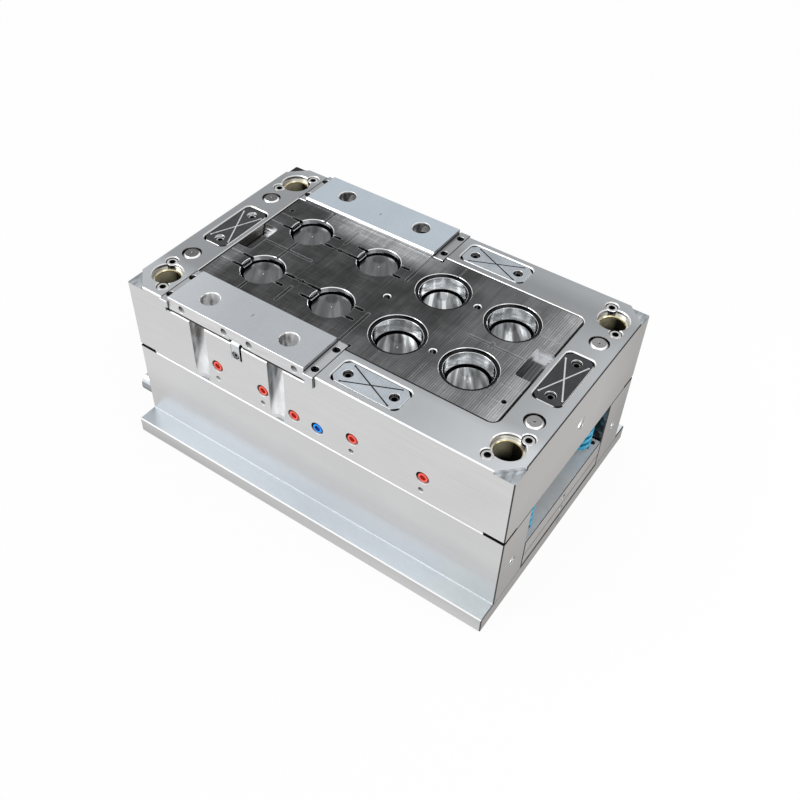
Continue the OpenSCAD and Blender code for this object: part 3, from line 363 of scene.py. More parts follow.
    def inside(self, x=None, y=None, z=None):
        """1 inside a box; each limit is (low, high)."""
        out = 1.0
        for v, lim in ((self.x, x), (self.y, y), (self.z, z)):
            if lim:
                above = self.step(v, lim[0] - 0.1, lim[0] + 0.1)
                below = self.step(v, lim[1] + 0.1, lim[1] - 0.1)
                out = self.mul(out, self.mul(above, below))
        return out

    def finish(self, colour, rough, crevice_shade=None):
        """Sets colour and roughness, with painted shade in crevices; returns the material."""
        if crevice_shade is not None:
            colour = self.scaled(colour, crevice_shade)
        self.put(self.bsdf.inputs["Base Color"], colour)
        self.put(self.bsdf.inputs["Roughness"], rough)
        return self.mat

    def polar(self, xs):
        """Offsets and distance from the nearest of the mirrored cavity axes at these two X."""
        d0 = self.minus(self.x, xs[0])
        d1 = self.minus(self.x, xs[1])
        near = self.math("LESS_THAN", self.abs(d0), self.abs(d1))
        dx = self.value(near, d1, d0)
        dy = self.minus(self.y, self.mul(self.math("SIGN", self.y), ROW_Y))
        r = self.math("SQRT", self.math("ADD", self.mul(dx, dx), self.mul(dy, dy)))
        return dx, dy, r


def mottled(t, v, lines, cloud, line_k=0.10, cloud_k=0.10):
    """Brightness v with grinding lines and soft clouds on it."""
    ripple = t.sum(t.span(lines, -line_k, line_k), t.span(cloud, -cloud_k, cloud_k), 1.0)
    return t.mul(v, ripple)


def end_faces(t, v, low=0.185, high=0.345):
    """Painted shade on the faces turned to +X, darker towards the foot and the back."""
    out = t.mul(t.value(t.step(t.z, 0, 170), low, high), t.span(t.step(t.y, 40, 130), 1.0, 0.70))
    return t.value(t.right_end(), v, out)


def bright_holes(t, v, crevice_shade, z_lo, z_hi, half_w):
    """Walls of the blind holes in the right end face catch the light."""
    hole = t.mul(t.inside((HALF_LEN - 40, HALF_LEN - 0.3), (-half_w, half_w), (z_lo, z_hi)),
                 t.step(t.abs(t.nx), 0.3, 0.1), t.step(t.abs(t.ny), 0.02, 0.08),
                 t.step(t.abs(t.nz), 0.02, 0.08))
    return t.value(hole, v, 0.9), t.value(hole, crevice_shade, 1.0)


def pry_slot(t, z_dark, z_open):
    """1 in the corner slots where a bar opens the mould, between a face at z_dark and z_open; these get
    painted shade.
    """
    near_x = t.step(t.abs(t.x), HALF_LEN - PRY_SIDE - 0.2, HALF_LEN - PRY_SIDE + 0.2)
    near_y = t.step(t.abs(t.y), HALF_W - PRY_SIDE - 0.2, HALF_W - PRY_SIDE + 0.2)
    return t.mul(near_x, t.step(t.z, z_dark, z_open), near_y)


def warm_end(t, v, cool=(1.0, 1.0, 1.0)):
    """Brightness v as a colour: a painted warm tint of light on faces turned to +X, else with the given
    tint.
    """
    return t.colour(t.right_end(), t.grey(v, cool), t.grey(v, (1.045, 1.0, 0.96)))


def plate_steel():
    """Ground clamp plate and spacers: pale, a painted cool tint on level faces, warm grey in painted shade
    at the right end, painted light and shade by place, on bevels, in the ejector box and in the pry slots.
    """
    t = Tree("plate_ground")
    lines = t.noise(0.9, (60, 1, 1), 2.0)
    cloud = t.noise(70, (1.6, 1, 1), 2.0, offset=3.1)
    stains_and_shade = t.noise(9, (1, 1, 1), 3.0, 0.7, offset=4.4)
    up = t.level()
    # Painted light and shade: the flange paler to the right, the upright faces darker to the right and low
    # down, the clamp plate's side paler to the right
    flange = t.value(t.step(t.x, 10, 190), t.span(t.step(t.x, -120, 0), 0.60, 0.62), 0.96)
    wall = t.mul(t.span(t.step(t.x, -240, 240), 0.64, 0.60), t.span(t.step(t.z, 95, 60), 1.0, 0.86))
    clamp_side = t.span(t.step(t.x, -220, 150), 0.44, 0.57)
    side = t.value(t.step(t.z, Z_CLAMP, 6), wall, clamp_side)
    # Painted highlight line along the foot of the spacers' front faces, kept free of crevice shade
    foot = t.mul(t.step(t.z, Z_CLAMP + 1.3, Z_CLAMP + 0.9), t.step(t.z, Z_CLAMP - 0.5, Z_CLAMP),
                 t.step(t.ny, -0.5, -0.9))
    side = t.value(foot, side, 0.95)
    v = end_faces(t, t.value(up, side, flange))
    v = mottled(t, v, lines, cloud, 0.05, 0.07)
    # Painted shade on the spacers' walls inside the ejector box, mottled with stains
    in_box = t.mul(t.step(t.abs(t.y), HALF_W - 50, HALF_W - 57), t.step(t.z, Z_CLAMP, Z_CLAMP + 3),
                   t.step(t.abs(t.nx), 0.7, 0.5))
    v = t.value(in_box, v, t.span(t.step(stains_and_shade, 0.45, 0.8), 0.05, 0.45))
    v = t.bevel_highlights(v)
    # Painted shade, near black, in the pry slots
    v = t.value(pry_slot(t, Z_PLATE - 1.5, Z_PLATE - 1.1), v, 0.008)
    open_face = t.value(foot, t.crevice_shade(3.0, 0.1, 0.6, 0.12), 1.0)
    v, open_face = bright_holes(t, v, open_face, 3, Z_PLATE - 8, HALF_W - 5)
    t.bump(lines, 0.010, 0.3)
    # Painted tints of light: cool on level faces, warm on faces turned to +X
    col = t.colour(up, warm_end(t, v), t.grey(v, (0.92, 1.0, 1.085)))
    return t.finish(col, t.span(cloud, 0.28, 0.38), open_face)


def parting_face(t):
    """Brightness of the moving plate's top with painted sheen, paler to the front and the right."""
    right = t.mul(t.step(t.x, 120, 235), t.span(t.step(t.y, 110, 60), 0.04, 0.17))
    far_right = t.mul(t.step(t.x, 225, 245), 0.05)
    front = t.mul(t.step(t.y, -86, -108), 0.21)
    back = t.mul(t.step(t.y, 116, 138), 0.10)
    left = t.mul(t.step(t.x, -190, -235), 0.02)
    return t.sum(0.36, front, right, far_right, back, left)


def relief_walls(t, col):
    """Paints the angle pins' reliefs in the front side with painted reflections, bright on the flanks and
    darker on the slopes, and a rust stain; returns the colour and the painted region.
    """
    cut = t.mul(t.step(t.y, 0, -20), t.step(t.z, Z_TOP - 15.5, Z_TOP - 16.5),
                t.step(t.z, Z_PLATE + 4, Z_PLATE + 5), t.step(t.y, -HALF_W + 0.1, -HALF_W + 0.5),
                t.step(t.nz, 0.9, 0.5), t.inside((-165, -20)))
    slope = t.mul(cut, t.step(t.abs(t.nz), 0.1, 0.25))
    flank = t.mul(cut, t.step(t.abs(t.nx), 0.80, 0.97))
    # Painted reflections in vertical streaks along the polish
    polish_sheen = t.step(t.noise(9, (1, 1, 5), 2.0, offset=7.0), 0.35, 0.6)
    v = t.value(flank, t.span(polish_sheen, 0.72, 0.93), t.span(polish_sheen, 0.20, 0.62))
    region = t.top(slope, flank)
    col = t.colour(region, col, t.grey(v, (0.98, 1.0, 1.02)))
    stain = t.mul(flank, t.inside((-165, -157)), t.step(t.z, Z_TOP - 20, Z_TOP - 26),
                  t.step(t.z, Z_TOP - 58, Z_TOP - 48))
    stain = t.mul(stain, t.step(t.noise(7, offset=2.0), 0.45, 0.7), 0.55)
    return t.colour(stain, col, (0.16, 0.10, 0.06)), region


def moving_steel():
    """Moving plate: bright sides, a mid grey parting face with painted sheen, painted recesses, ports and
    seats: painted highlights on bevels, seats and under the slides, painted light and shade in ports and
    holes, painted shade in the pry slots.
    """
    t = Tree("moving_plate_ground")
    lines = t.noise(0.9, (60, 1, 1), 2.0)
    fine = t.noise(0.5, (1.5, 1.5, 1), 1.0, offset=6.0)
    cloud = t.noise(60, (1.6, 1, 1), 2.0, offset=3.1)
    patch = t.noise(6, (1, 3, 1), 4.0, offset=5.0)
    inner_x = (-HALF_LEN + 1, HALF_LEN - 1)
    up = t.mul(t.level(), t.step(t.z, Z_TOP - 0.6, Z_TOP - 0.2))
    recess = t.mul(t.level(), t.step(t.z, Z_TOP - 3.5, Z_TOP - 3.9), t.step(t.z, Z_TOP - 5.5, Z_TOP - 5))
    back_left = t.mul(t.step(t.x, 0, -100), t.step(t.y, 0, 100))
    recess_v = t.value(back_left, t.span(t.step(patch, 0.35, 0.65), 0.30, 0.66), 0.02)
    v = t.value(up, end_faces(t, 0.635), parting_face(t))
    v = t.value(recess, v, recess_v)
    v = mottled(t, v, t.value(up, lines, fine), cloud, 0.09, 0.07)
    v = t.bevel_highlights(v, 0.93)
    # Painted highlight along the edge of the slides' channel floor, just under the slides
    seam = t.mul(t.step(t.z, Z_FLOOR + 0.1, Z_FLOOR - 0.1), t.step(t.z, Z_FLOOR - 1.2, Z_FLOOR - 0.9),
                 t.step(t.abs(t.ny), 0.3, 0.6), t.inside((SLIDE_X - 98, SLIDE_X + 98)))
    v = t.value(seam, v, t.span(t.step(patch, 0.40, 0.55), 0.50, 0.80))
    # Painted shade and light on the walls of the water ports
    in_port = t.mul(t.inside(inner_x, (-HALF_W + 0.2, -HALF_W + 25), (PORT_LOW - 20, PORT_HIGH + 3)),
                    t.step(t.abs(t.ny), 0.9, 0.8))
    for x in RELIEF_X:
        in_port = t.mul(in_port, t.step(t.abs(t.minus(t.x, x)), *RELIEF_HALF))
    v = t.value(in_port, v, t.hole_wall())
    # Painted highlights on the walls of the wear plates' seats, softer on walls turned to +X
    seat = t.mul(t.inside(inner_x, (-HALF_W + 1, HALF_W - 1), (Z_TOP - 9, Z_TOP - 0.2)),
                 t.step(t.abs(t.x), 190, 195), t.step(t.abs(t.y), 90, 94), t.step(t.abs(t.nz), 0.4, 0.2))
    v = t.value(seat, v, t.value(t.step(t.nx, 0.6, 0.95), 0.92, 0.45))
    # Painted shade, near black, in the pry slots
    v = t.value(pry_slot(t, Z_PLATE + 3.7, Z_PLATE + 3.4), v, 0.008)
    t.bump(t.math("ADD", lines, fine), 0.010, 0.3)
    t.put(t.bsdf.inputs["Metallic"], t.value(in_port, 1.0, 0.3))
    # Painted tints of light: cool on the top and in the recesses, warm on faces turned to +X
    col = t.colour(up, warm_end(t, v), t.grey(v, (0.96, 1.0, 1.035)))
    col = t.colour(recess, col, t.grey(v, (0.93, 1.0, 1.06)))
    col, reliefs = relief_walls(t, col)
    open_face = t.value(t.top(reliefs, up, in_port, seat, seam), t.crevice_shade(), 1.0)
    # Painted light on the walls of the blind holes in the right end
    in_hole, open_face = bright_holes(t, 0.0, open_face, Z_PLATE + 30, Z_PLATE + 60, 12)
    col = t.colour(t.step(in_hole, 0.4, 0.6), col, (0.88, 0.88, 0.87))
    return t.finish(col, t.span(cloud, 0.28, 0.38), open_face)


def milled_face(t, streak, thread):
    """Brightness of the insert's face: cutter lines, scratches, paler regions of painted sheen."""
    cross = t.noise(1.0, (50, 1, 1), 2.0, 0.5, offset=4.0)
    scratch = t.noise(0.8, (1, 22, 1), 1.0, offset=12.0)
    mark = t.noise(0.8, (22, 1, 1), 1.0, offset=15.0)
    band = t.noise(26, (1, 4, 1), 2.0, offset=4.0)
    cloud = t.noise(34, (1, 1, 1), 2.0, offset=1.7)
    # Painted sheen: paler to the right, at the front, at the back and at the left
    right = t.mul(t.step(t.x, 60, 130), 0.10)
    right_edge = t.mul(t.step(t.x, 158, 186), 0.22)
    front = t.mul(t.step(t.y, -58, -75), t.step(t.x, -60, 20), 0.05)
    back = t.mul(t.step(t.y, 54, 76), t.step(t.x, -150, -110), t.step(t.x, 40, -15), 0.44)
    left = t.mul(t.step(t.x, -172, -184), t.step(t.y, 60, -40), 0.10)
    v = t.sum(0.066, right, right_edge, front, back, left, t.mul(t.step(cloud, 0.42, 0.72), 0.05))
    wave = t.mul(t.noise(30, (1, 4, 1), 1.0, offset=6.0), 5.0)
    phase = t.math("SINE", t.sum(t.mul(t.x, 2 * math.pi / CUTTER_PITCH), wave))
    cut = t.mul(t.step(phase, -0.9, 0.3), t.span(t.step(t.x, -60, 90), 0.15, 0.45))
    lines = t.mul(t.sum(t.step(streak, 0.30, 0.70), t.mul(t.step(thread, 0.3, 0.7), 0.4)), 0.42)
    hatch = t.mul(t.step(cross, 0.52, 0.72), t.span(t.step(t.x, 60, -60), 0.12, 0.55))
    fine = t.mul(t.sum(t.step(scratch, 0.62, 0.72), t.step(mark, 0.66, 0.74)), 0.55)
    return t.mul(v, t.sum(0.28, lines, cut, hatch, fine, t.mul(t.step(band, 0.35, 0.65), 0.20)))


def grooves(t, face, depth, streak):
    """Brightness below the insert's face: grooves with painted light on walls turned to the front and
    painted shade deeper down and on floors, shelves in painted shade, notches with painted light and shade.
    """
    lit = t.value(t.step(t.ny, 0.1, -0.4), 0.38, 0.97)
    wall = t.value(t.step(depth, 1.1, 1.9), lit, 0.03)
    deep = t.step(depth, *GROOVE_DEPTH)
    floor = t.value(deep, t.mul(face, 0.8), 0.025)
    v = t.value(t.step(t.nz, 0.5, 0.9), wall, floor)
    shelf = t.mul(t.step(t.nz, 0.8, 0.95), t.step(t.abs(t.y), *SHELF_Y), deep)
    v = t.value(shelf, v, 0.06)
    notch = t.mul(t.step(t.abs(t.x), *NOTCH_X), t.step(t.abs(t.y), *NOTCH_Y), t.step(depth, *NOTCH_DEPTH))
    notch_floor = t.value(t.step(t.y, 14, 17), t.span(t.step(streak, 0.35, 0.65), 0.03, 0.22), 0.50)
    side_wall = t.value(t.step(t.y, -12, 20), 0.18, 0.90)
    notch_wall = t.value(t.step(t.ny, -0.3, -0.7), side_wall, 0.97)
    return t.value(notch, v, t.value(t.step(t.nz, 0.6, 0.8), notch_wall, notch_floor))


def cap_wall(t, side, depth, cap_r):
    """Brightness of a cap cavity's polished wall as painted reflections, bands of light and dark by side and
    depth, with a dark outer ring; side runs from -1 at the left to 1 at the right.
    """
    upper = t.value(t.step(side, -0.70, -0.42), 1.0, 0.50)
    upper = t.value(t.step(side, -0.05, 0.30), upper, 0.88)
    upper = t.value(t.step(side, 0.84, 0.93), upper, 0.08)
    lower = t.value(t.step(side, 0.75, 0.9), 1.0, 0.45)
    v = t.value(t.step(depth, *CAP_STEP_DEPTH), upper, lower)
    outer = t.mul(t.step(cap_r, *CAP_OUTER_R), t.step(depth, 1.0, 1.4))
    return t.value(outer, v, 0.02)


def insert_steel():
    """Dark milled insert: cutter lines, painted highlights on its rims, polished cavities with painted
    reflections, painted shade in its slots and around its cores.
    """
    t = Tree("insert_milled")
    streak = t.noise(1.6, (1, 70, 1), 3.0, 0.6)
    thread = t.noise(0.7, (1, 40, 1), 1.0, offset=9.0)
    depth = t.minus(Z_INSERT, t.z)
    upright = t.step(t.nz, 0.95, 0.85)
    up = t.mul(t.step(t.nz, 0.8, 0.95), t.step(depth, 0.3, 0.1))
    face = milled_face(t, streak, thread)
    v = t.value(up, grooves(t, face, depth, streak), face)
    dx, dy, cap_r = t.polar(CAP_X)
    cx, cy, clip_r = t.polar(CLIP_X)
    drift = t.mul(t.minus(t.noise(70, offset=8.0), 0.5), 0.8)
    in_cap = t.mul(t.step(cap_r, *CAP_R), upright)
    side = t.sum(t.math("DIVIDE", t.stroke(dx, dy)[0], cap_r), drift)
    v = t.value(in_cap, v, cap_wall(t, side, depth, cap_r))
    in_clip = t.mul(t.step(clip_r, *CLIP_R), upright)
    side = t.sum(t.math("DIVIDE", t.stroke(cx, cy)[0], clip_r), drift)
    # Painted reflection on the clip cavities' walls: bright to one side, darker to the other, painted shade
    # below the band
    clip_wall = t.value(t.step(side, -0.15, 0.2), 0.30, 0.95)
    clip_wall = t.value(t.step(depth, *CLIP_BAND_DEPTH), clip_wall, 0.04)
    v = t.value(in_clip, v, clip_wall)
    hinge = t.mul(t.step(cx, *HINGE_X), t.step(t.abs(cy), *HINGE_Y), t.step(clip_r, *HINGE_R),
                  t.step(depth, *HINGE_DEPTH))
    ribs = t.span(t.step(streak, 0.4, 0.6), 0.04, 0.45)
    v = t.value(hinge, v, t.value(t.step(t.nz, 0.5, 0.9), 0.05, ribs))
    inner = t.inside((-INSERT_X + 2, INSERT_X - 2), (-INSERT_Y + 2, INSERT_Y - 2))
    # Painted highlights along the sharp rims of the face, in patches of varying strength
    highlight_strength = t.span(t.step(t.noise(3.5, detail=3.0, offset=2.0), 0.30, 0.55), 0.45, 1.0)
    v = t.value(t.mul(t.rim_lines(1.1), up, inner, highlight_strength), v, 0.72)
    ledge = t.mul(t.step(cap_r, *CAP_LEDGE_OUT_R), t.step(cap_r, *CAP_LEDGE_IN_R), t.step(t.nz, 0.9, 0.99))
    v = t.value(ledge, v, 0.018)
    # Bevels: painted shade inside the insert, painted highlight on its outer edge
    v = t.value(t.edges(), v, t.value(inner, 0.02, 0.88))
    # Painted shade in the deep gaps around the cores
    dark = t.top(t.mul(t.step(cap_r, *CAP_GAP_R), t.step(depth, *CAP_GAP_DEPTH)),
                 t.mul(t.step(clip_r, *CLIP_GAP_R), t.step(depth, *CLIP_GAP_DEPTH)))
    v = t.value(dark, v, 0.010)
    rough = t.value(t.top(in_cap, in_clip), t.span(thread, 0.26, 0.40), 0.16)
    rough = t.value(dark, rough, 0.5)
    t.bump(t.mul(up, t.math("ADD", streak, thread)), 0.02, 0.5)
    return t.finish(t.grey(v, (0.985, 1.0, 1.02)), rough)


def core_steel(name, xs, seed, dark, light, beam):
    """Polished core with painted reflections: long strokes of light across its face, a painted dark patch
    near the far rim.
    """
    t = Tree(name)
    dx, dy, _ = t.polar(xs)
    across, along = t.stroke(dx, dy)
    cell = t.sum(t.mul(t.math("SIGN", t.y), 3.7), t.mul(t.minus(t.x, dx), 0.11))
    fan = t.math("DIVIDE", across, t.sum(1.0, t.mul(along, -0.010)))
    at = t.add("ShaderNodeCombineXYZ")
    t.put(at.inputs[0], t.sum(t.mul(fan, 1 / 7.5), seed))
    t.put(at.inputs[1], t.mul(along, 1 / 55))
    t.put(at.inputs[2], cell)
    broad = t.noise_at(at.outputs[0], 1.0, 0.5)
    closer = t.add("ShaderNodeVectorMath", operation="MULTIPLY")
    t.put(closer.inputs[0], at.outputs[0])
    closer.inputs[1].default_value = (9.0, 4.0, 1.0)
    hairs = t.noise_at(closer.outputs[0], 2.0, 0.6)
    haze = t.noise(7, (1, 2.5, 1), 3.0)
    v = t.value(t.step(broad, 0.40, 0.56), dark, light)
    v = t.value(t.step(broad, 0.60, 0.66), v, beam)
    v = t.mul(v, t.sum(t.span(hairs, 0.72, 1.28), t.span(haze, -0.12, 0.12)))
    far = t.minus(along, 14)
    from_patch = t.math("SQRT", t.sum(t.mul(across, across), t.mul(far, far)))
    v = t.mul(v, t.span(t.step(from_patch, 6, 9), 0.55, 1.0))
    v = t.value(t.step(t.nz, 0.9, 0.7), v, 0.6)
    v = t.value(t.step(t.nz, 0.3, 0.1), v, 0.015)
    t.bump(t.sum(hairs, haze), 0.012, 0.4)
    return t.finish(t.grey(v, (0.97, 1.0, 1.02)), t.span(haze, 0.16, 0.26))


def slide_steel():
    """Fine ground slide: cool top, neutral outer face, painted sheen and highlights, a painted shadow line
    along its foot, painted light and shade in its ports and angle pin holes.
    """
    t = Tree("slide_ground")
    streak = t.noise(0.8, (34, 1, 1), 2.0)
    grain = t.noise(0.6, (1, 1, 1), 1.0, offset=8.0)
    speck = t.noise(1.3, (1, 1, 1), 3.0, 0.7, offset=5.0)
    cloud = t.noise(45, (1, 2, 1), 2.0, offset=2.0)
    up = t.level()
    back = t.step(t.y, -20, 20)
    # Painted sheen: the top paler at the front left and at the back
    face = t.sum(0.575, t.mul(t.step(t.x, -120, -185), t.step(t.y, 0, -20), 0.10), t.mul(back, 0.07))
    v = t.value(up, end_faces(t, 0.66), face)
    v = mottled(t, v, t.value(up, streak, t.mul(t.sum(grain, speck), 0.5)), cloud, 0.30, 0.07)
    v = t.bevel_highlights(v, 0.92)
    # Painted shadow line along the foot of the outer faces, where the slide meets the plate
    foot = t.mul(t.step(t.z, Z_FLOOR + SLIDE_FOOT + 0.2, Z_FLOOR + SLIDE_FOOT),
                 t.step(t.abs(t.ny), 0.3, 0.5))
    v = t.value(foot, v, 0.02)
    # Painted shade and light on the walls of the ports
    port = t.mul(t.inside((SLIDE_X - 90, SLIDE_X + 92), None, (Z_TOP - 10, Z_TOP + 3)),
                 t.step(t.abs(t.y), HALF_W - 20, HALF_W - 19),
                 t.step(t.abs(t.y), HALF_W - 0.3, HALF_W - 0.5))
    v = t.value(port, v, t.value(t.step(t.abs(t.ny), 0.3, 0.6), t.hole_wall(0.08, 1.0), 0.60))
    # Painted light and shade in the angle pin holes: one side bright, the other in speckled shade, a bright
    # rim at the back
    hole = t.mul(t.inside((SLIDE_X - 68, SLIDE_X + 68), (-137, 137), (Z_TOP - 20, Z_SLIDE - 0.2)),
                 t.step(t.nz, 0.93, 0.85), t.step(t.abs(t.y), 94, 96), t.step(t.abs(t.nx), 0.999, 0.99))
    sparkle = t.step(t.noise(6.0, (1, 1, 3), 2.0, rough=0.5, offset=3.3), 0.30, 0.66)
    turn = t.step(t.sum(t.nx, t.mul(t.minus(sparkle, 0.5), -0.9)), 0.95, 0.25)
    front_hole = t.value(turn, t.span(sparkle, 0.10, 0.40), 0.90)
    rim = t.step(t.z, Z_SLIDE - 3, Z_SLIDE - 1.5)
    back_hole = t.value(rim, t.span(sparkle, 0.02, 0.22), 0.7)
    v = t.value(hole, v, t.value(back, front_hole, back_hole))
    t.put(t.bsdf.inputs["Metallic"], t.value(port, t.value(hole, 1.0, 0.6), 0.25))
    # Painted cool tint of reflected light on the top, cooler at the back
    cool = t.value(back, 1.05, 1.11)
    tinted = t.add("ShaderNodeCombineXYZ")
    for i, k in enumerate((t.minus(2.0, cool), 1.0, cool)):
        t.put(tinted.inputs[i], t.mul(v, k))
    t.bump(t.sum(streak, grain), 0.012, 0.4)
    col = t.colour(up, t.grey(v, (1.0, 1.0, 1.01)), tinted.outputs[0])
    open_face = t.value(t.top(up, port, hole, foot), t.crevice_shade(), 1.0)
    return t.finish(col, t.span(streak, 0.26, 0.36), open_face)


def gib_steel():
    """Ground guide strips with painted shade: duller at the back, a black painted shadow line in the gap on
    their outer side.
    """
    t = Tree("gib_ground")
    streak = t.noise(0.8, (1, 34, 1), 2.0)
    cloud = t.noise(30, (1, 2, 1), 2.0, offset=2.0)
    # Painted shade: the tops darker at the back and towards the left
    top = t.value(t.step(t.y, -20, 20), t.span(t.step(t.x, -100, 0), 0.48, 0.575), 0.42)
    v = t.value(t.level(), end_faces(t, 0.62), top)
    v = t.bevel_highlights(mottled(t, v, streak, cloud, 0.10, 0.08), 0.88)
    # Painted shadow line on the bevels turned away from the slide
    away = t.mul(t.math("SIGN", t.minus(t.x, SLIDE_X)), t.nx)
    v = t.value(t.mul(t.edges(), t.step(away, 0.3, 0.5)), v, 0.015)
    t.bump(streak, 0.010, 0.3)
    col = warm_end(t, v, (0.98, 1.0, 1.03))
    return t.finish(col, t.span(streak, 0.26, 0.36), t.crevice_shade(3.0, 0.1, 0.6, 0.10))


def wear_steel(name, base, groove):
    """Wear plate with its two crossed oil grooves, painted highlights on its edges and upper sides, painted
    shade lower on its sides, paler towards the front.
    """
    t = Tree(name)
    streak = t.noise(0.6, (1, 18, 1), 2.0)
    cloud = t.noise(22, (1, 1, 1), 2.0, offset=1.0)
    s = t.math("ADD", t.mul(streak, 0.5), t.mul(cloud, 0.5))
    col = t.colour(t.step(s, 0.3, 0.7), tuple(c * 0.75 for c in base), tuple(c * 1.2 for c in base))
    # Painted light: paler towards the front
    col = t.colour(t.step(t.y, -60, -100), col, t.scaled(col, 1.15))
    # Painted highlights on the upper sides and edges, painted shade lower down
    sides = t.mul(t.step(t.abs(t.nz), 0.5, 0.3), t.step(t.z, Z_TOP - 1.2, Z_TOP - 2.0))
    col = t.colour(sides, col, t.colour(t.step(t.z, Z_TOP - 5.5, Z_TOP - 4), 0.02, 0.90))
    col = t.colour(t.edges(), col, 0.90)
    line = t.mul(t.step(t.z, Z_TOP - 1.3, Z_TOP - 1.45), t.step(t.z, Z_TOP - 1.8, Z_TOP - 1.7))
    col = t.colour(line, col, groove)
    t.bump(streak, 0.012, 0.4)
    return t.finish(col, t.value(line, t.span(streak, 0.22, 0.34), 0.4))


def turned_steel(name, a, b, rough):
    """Lathe-turned steel between two colours, with painted shade in its gaps."""
    t = Tree(name)
    haze = t.noise(5, (1, 1, 1), 3.0)
    fine = t.noise(0.4, (1, 1, 12), 1.0, offset=2.0)
    t.bump(fine, 0.01, 0.4)
    open_face = t.crevice_shade(3.0, 0.1, 0.7, 0.04)
    return t.finish(t.colour(haze, a, b), t.span(haze, rough * 0.7, rough * 1.4), open_face)


def screw_steel():
    """Socket cap screws: the shade of each face is in the mesh as painted light and shade, darker on the
    wear plates.
    """
    t = Tree("screw_satin")
    haze = t.noise(2.5, (1, 1, 1), 3.0)
    near_end = t.step(t.abs(t.x), 150, 180)
    by_bush = t.step(t.abs(t.y), 88, 90)
    on_end_plate = t.mul(near_end, t.value(t.step(t.x, -50, 50), 0.85, 0.22))
    k = t.value(by_bush, on_end_plate, t.value(near_end, 0.14, 1.0))
    v = t.mul(t.attribute("shade"), k, t.span(haze, 0.85, 1.15))
    return t.finish(t.grey(v), 0.26)


def stop_steel():
    """Ground stop block with painted shade: cool and darker on its top, dark at its right end."""
    t = Tree("stop_ground")
    haze = t.noise(1.6, (1, 1, 1), 2.0)
    v = t.value(t.level(), 0.62, t.span(t.step(haze, 0.35, 0.65), 0.34, 0.60))
    v = t.value(t.right_end(), v, 0.22)
    v = t.value(t.edges(), v, 0.55)
    return t.finish(t.grey(v, (0.97, 1.0, 1.03)), t.span(haze, 0.22, 0.34))


def peg_steel():
    """Chromed round peg with the bands of dark and light that a bright room leaves on it."""
    t = Tree("peg_chromed")
    haze = t.noise(6, (6, 1, 1), 2.0)
    turn = t.sum(t.mul(t.ny, 0.77), t.mul(t.nz, 0.64))
    v = t.value(t.step(turn, 0.80, 0.92), 0.45, 0.03)
    v = t.value(t.step(turn, 0.55, 0.35), v, 0.78)
    v = t.value(t.step(turn, -0.30, -0.45), v, 0.35)
    v = t.value(t.step(turn, -0.75, -0.88), v, 0.02)
    v = t.value(t.step(t.abs(t.nx), 0.5, 0.8), v, 0.55)
    return t.finish(t.grey(v, (0.95, 1.0, 1.05)), t.span(haze, 0.2, 0.3))


def pin_steel():
    """Return pin: grey ground end, painted paler on the right half, with a painted highlight on its bevel,
    dark shank in its hole.
    """
    t = Tree("return_pin_ground")
    haze = t.noise(5, (1, 1, 1), 3.0)
    v = t.value(t.step(t.x, -100, 100), t.span(haze, 0.10, 0.26), t.span(haze, 0.28, 0.44))
    v = t.value(t.edges(), v, 0.97)
    v = t.value(t.mul(t.step(t.nz, 0.4, 0.2), t.step(t.z, Z_PLATE, Z_PLATE + 5)), v, 0.35)
    return t.finish(t.grey(v), 0.22, t.crevice_shade(3.0, 0.05, 0.5, 0.1))


def bush_steel():
    """Hardened bush: bright rim, oil film on the wall inside with painted light on the side turned to +X and
    painted shade on the rest, painted shade, black, below.
    """
    t = Tree("bush_oiled")
    haze = t.noise(7, (1, 1, 0.6), 3.0)
    inner = t.step(t.z, Z_TOP - 7.6, Z_TOP - 9.5)
    rim = t.colour(haze, (0.62, 0.61, 0.56), (0.85, 0.84, 0.78))
    lip = t.mul(t.step(t.nz, 0.9, 0.6), t.step(t.z, Z_TOP - 10.5, Z_TOP - 9.8))
    rim = t.colour(lip, rim, t.colour(haze, (0.52, 0.42, 0.20), (0.80, 0.72, 0.48)))
    # Painted shade on the wall turned away from +X, painted light on the oil film turned to +X
    shaded_side = t.colour(haze, (0.008, 0.007, 0.005), (0.035, 0.03, 0.02))
    lit_oil_film = t.colour(haze, (0.32, 0.29, 0.18), (0.62, 0.57, 0.42))
    wall = t.colour(t.step(t.nx, 0.05, 0.70), shaded_side, lit_oil_film)
    # Painted shade deep in the bush
    deep = t.colour(haze, (0.006, 0.006, 0.006), (0.022, 0.022, 0.022))
    col = t.colour(t.step(t.z, Z_TOP - 20, Z_TOP - 33), t.colour(inner, rim, wall), deep)
    t.put(t.bsdf.inputs["Metallic"], t.value(inner, 1.0, 0.2))
    return t.finish(col, t.span(haze, 0.14, 0.28))


def spring_paint(name, a, b):
    """Painted wire, with painted shade in the gaps between its turns."""
    t = Tree(name, metallic=0.0)
    haze = t.noise(2.5, (1, 1, 1), 2.0)
    t.bump(haze, 0.02, 0.3)
    return t.finish(t.colour(haze, a, b), t.span(haze, 0.28, 0.40), t.crevice_shade(5.0, 0.15, 0.8, 0.10))


def plug_plastic(name, ring, deep):
    """Gloss plug: a painted highlight, light, on its ring and painted shade, deep, in its dished middle, as
    its mesh says.
    """
    t = Tree(name, metallic=0.0)
    haze = t.noise(2.5, (1, 1, 1), 2.0)
    t.bump(haze, 0.02, 0.3)
    col = t.scaled(t.colour(t.attribute("shade"), ring, deep), t.span(haze, 0.92, 1.08))
    return t.finish(col, t.span(haze, 0.28, 0.40))


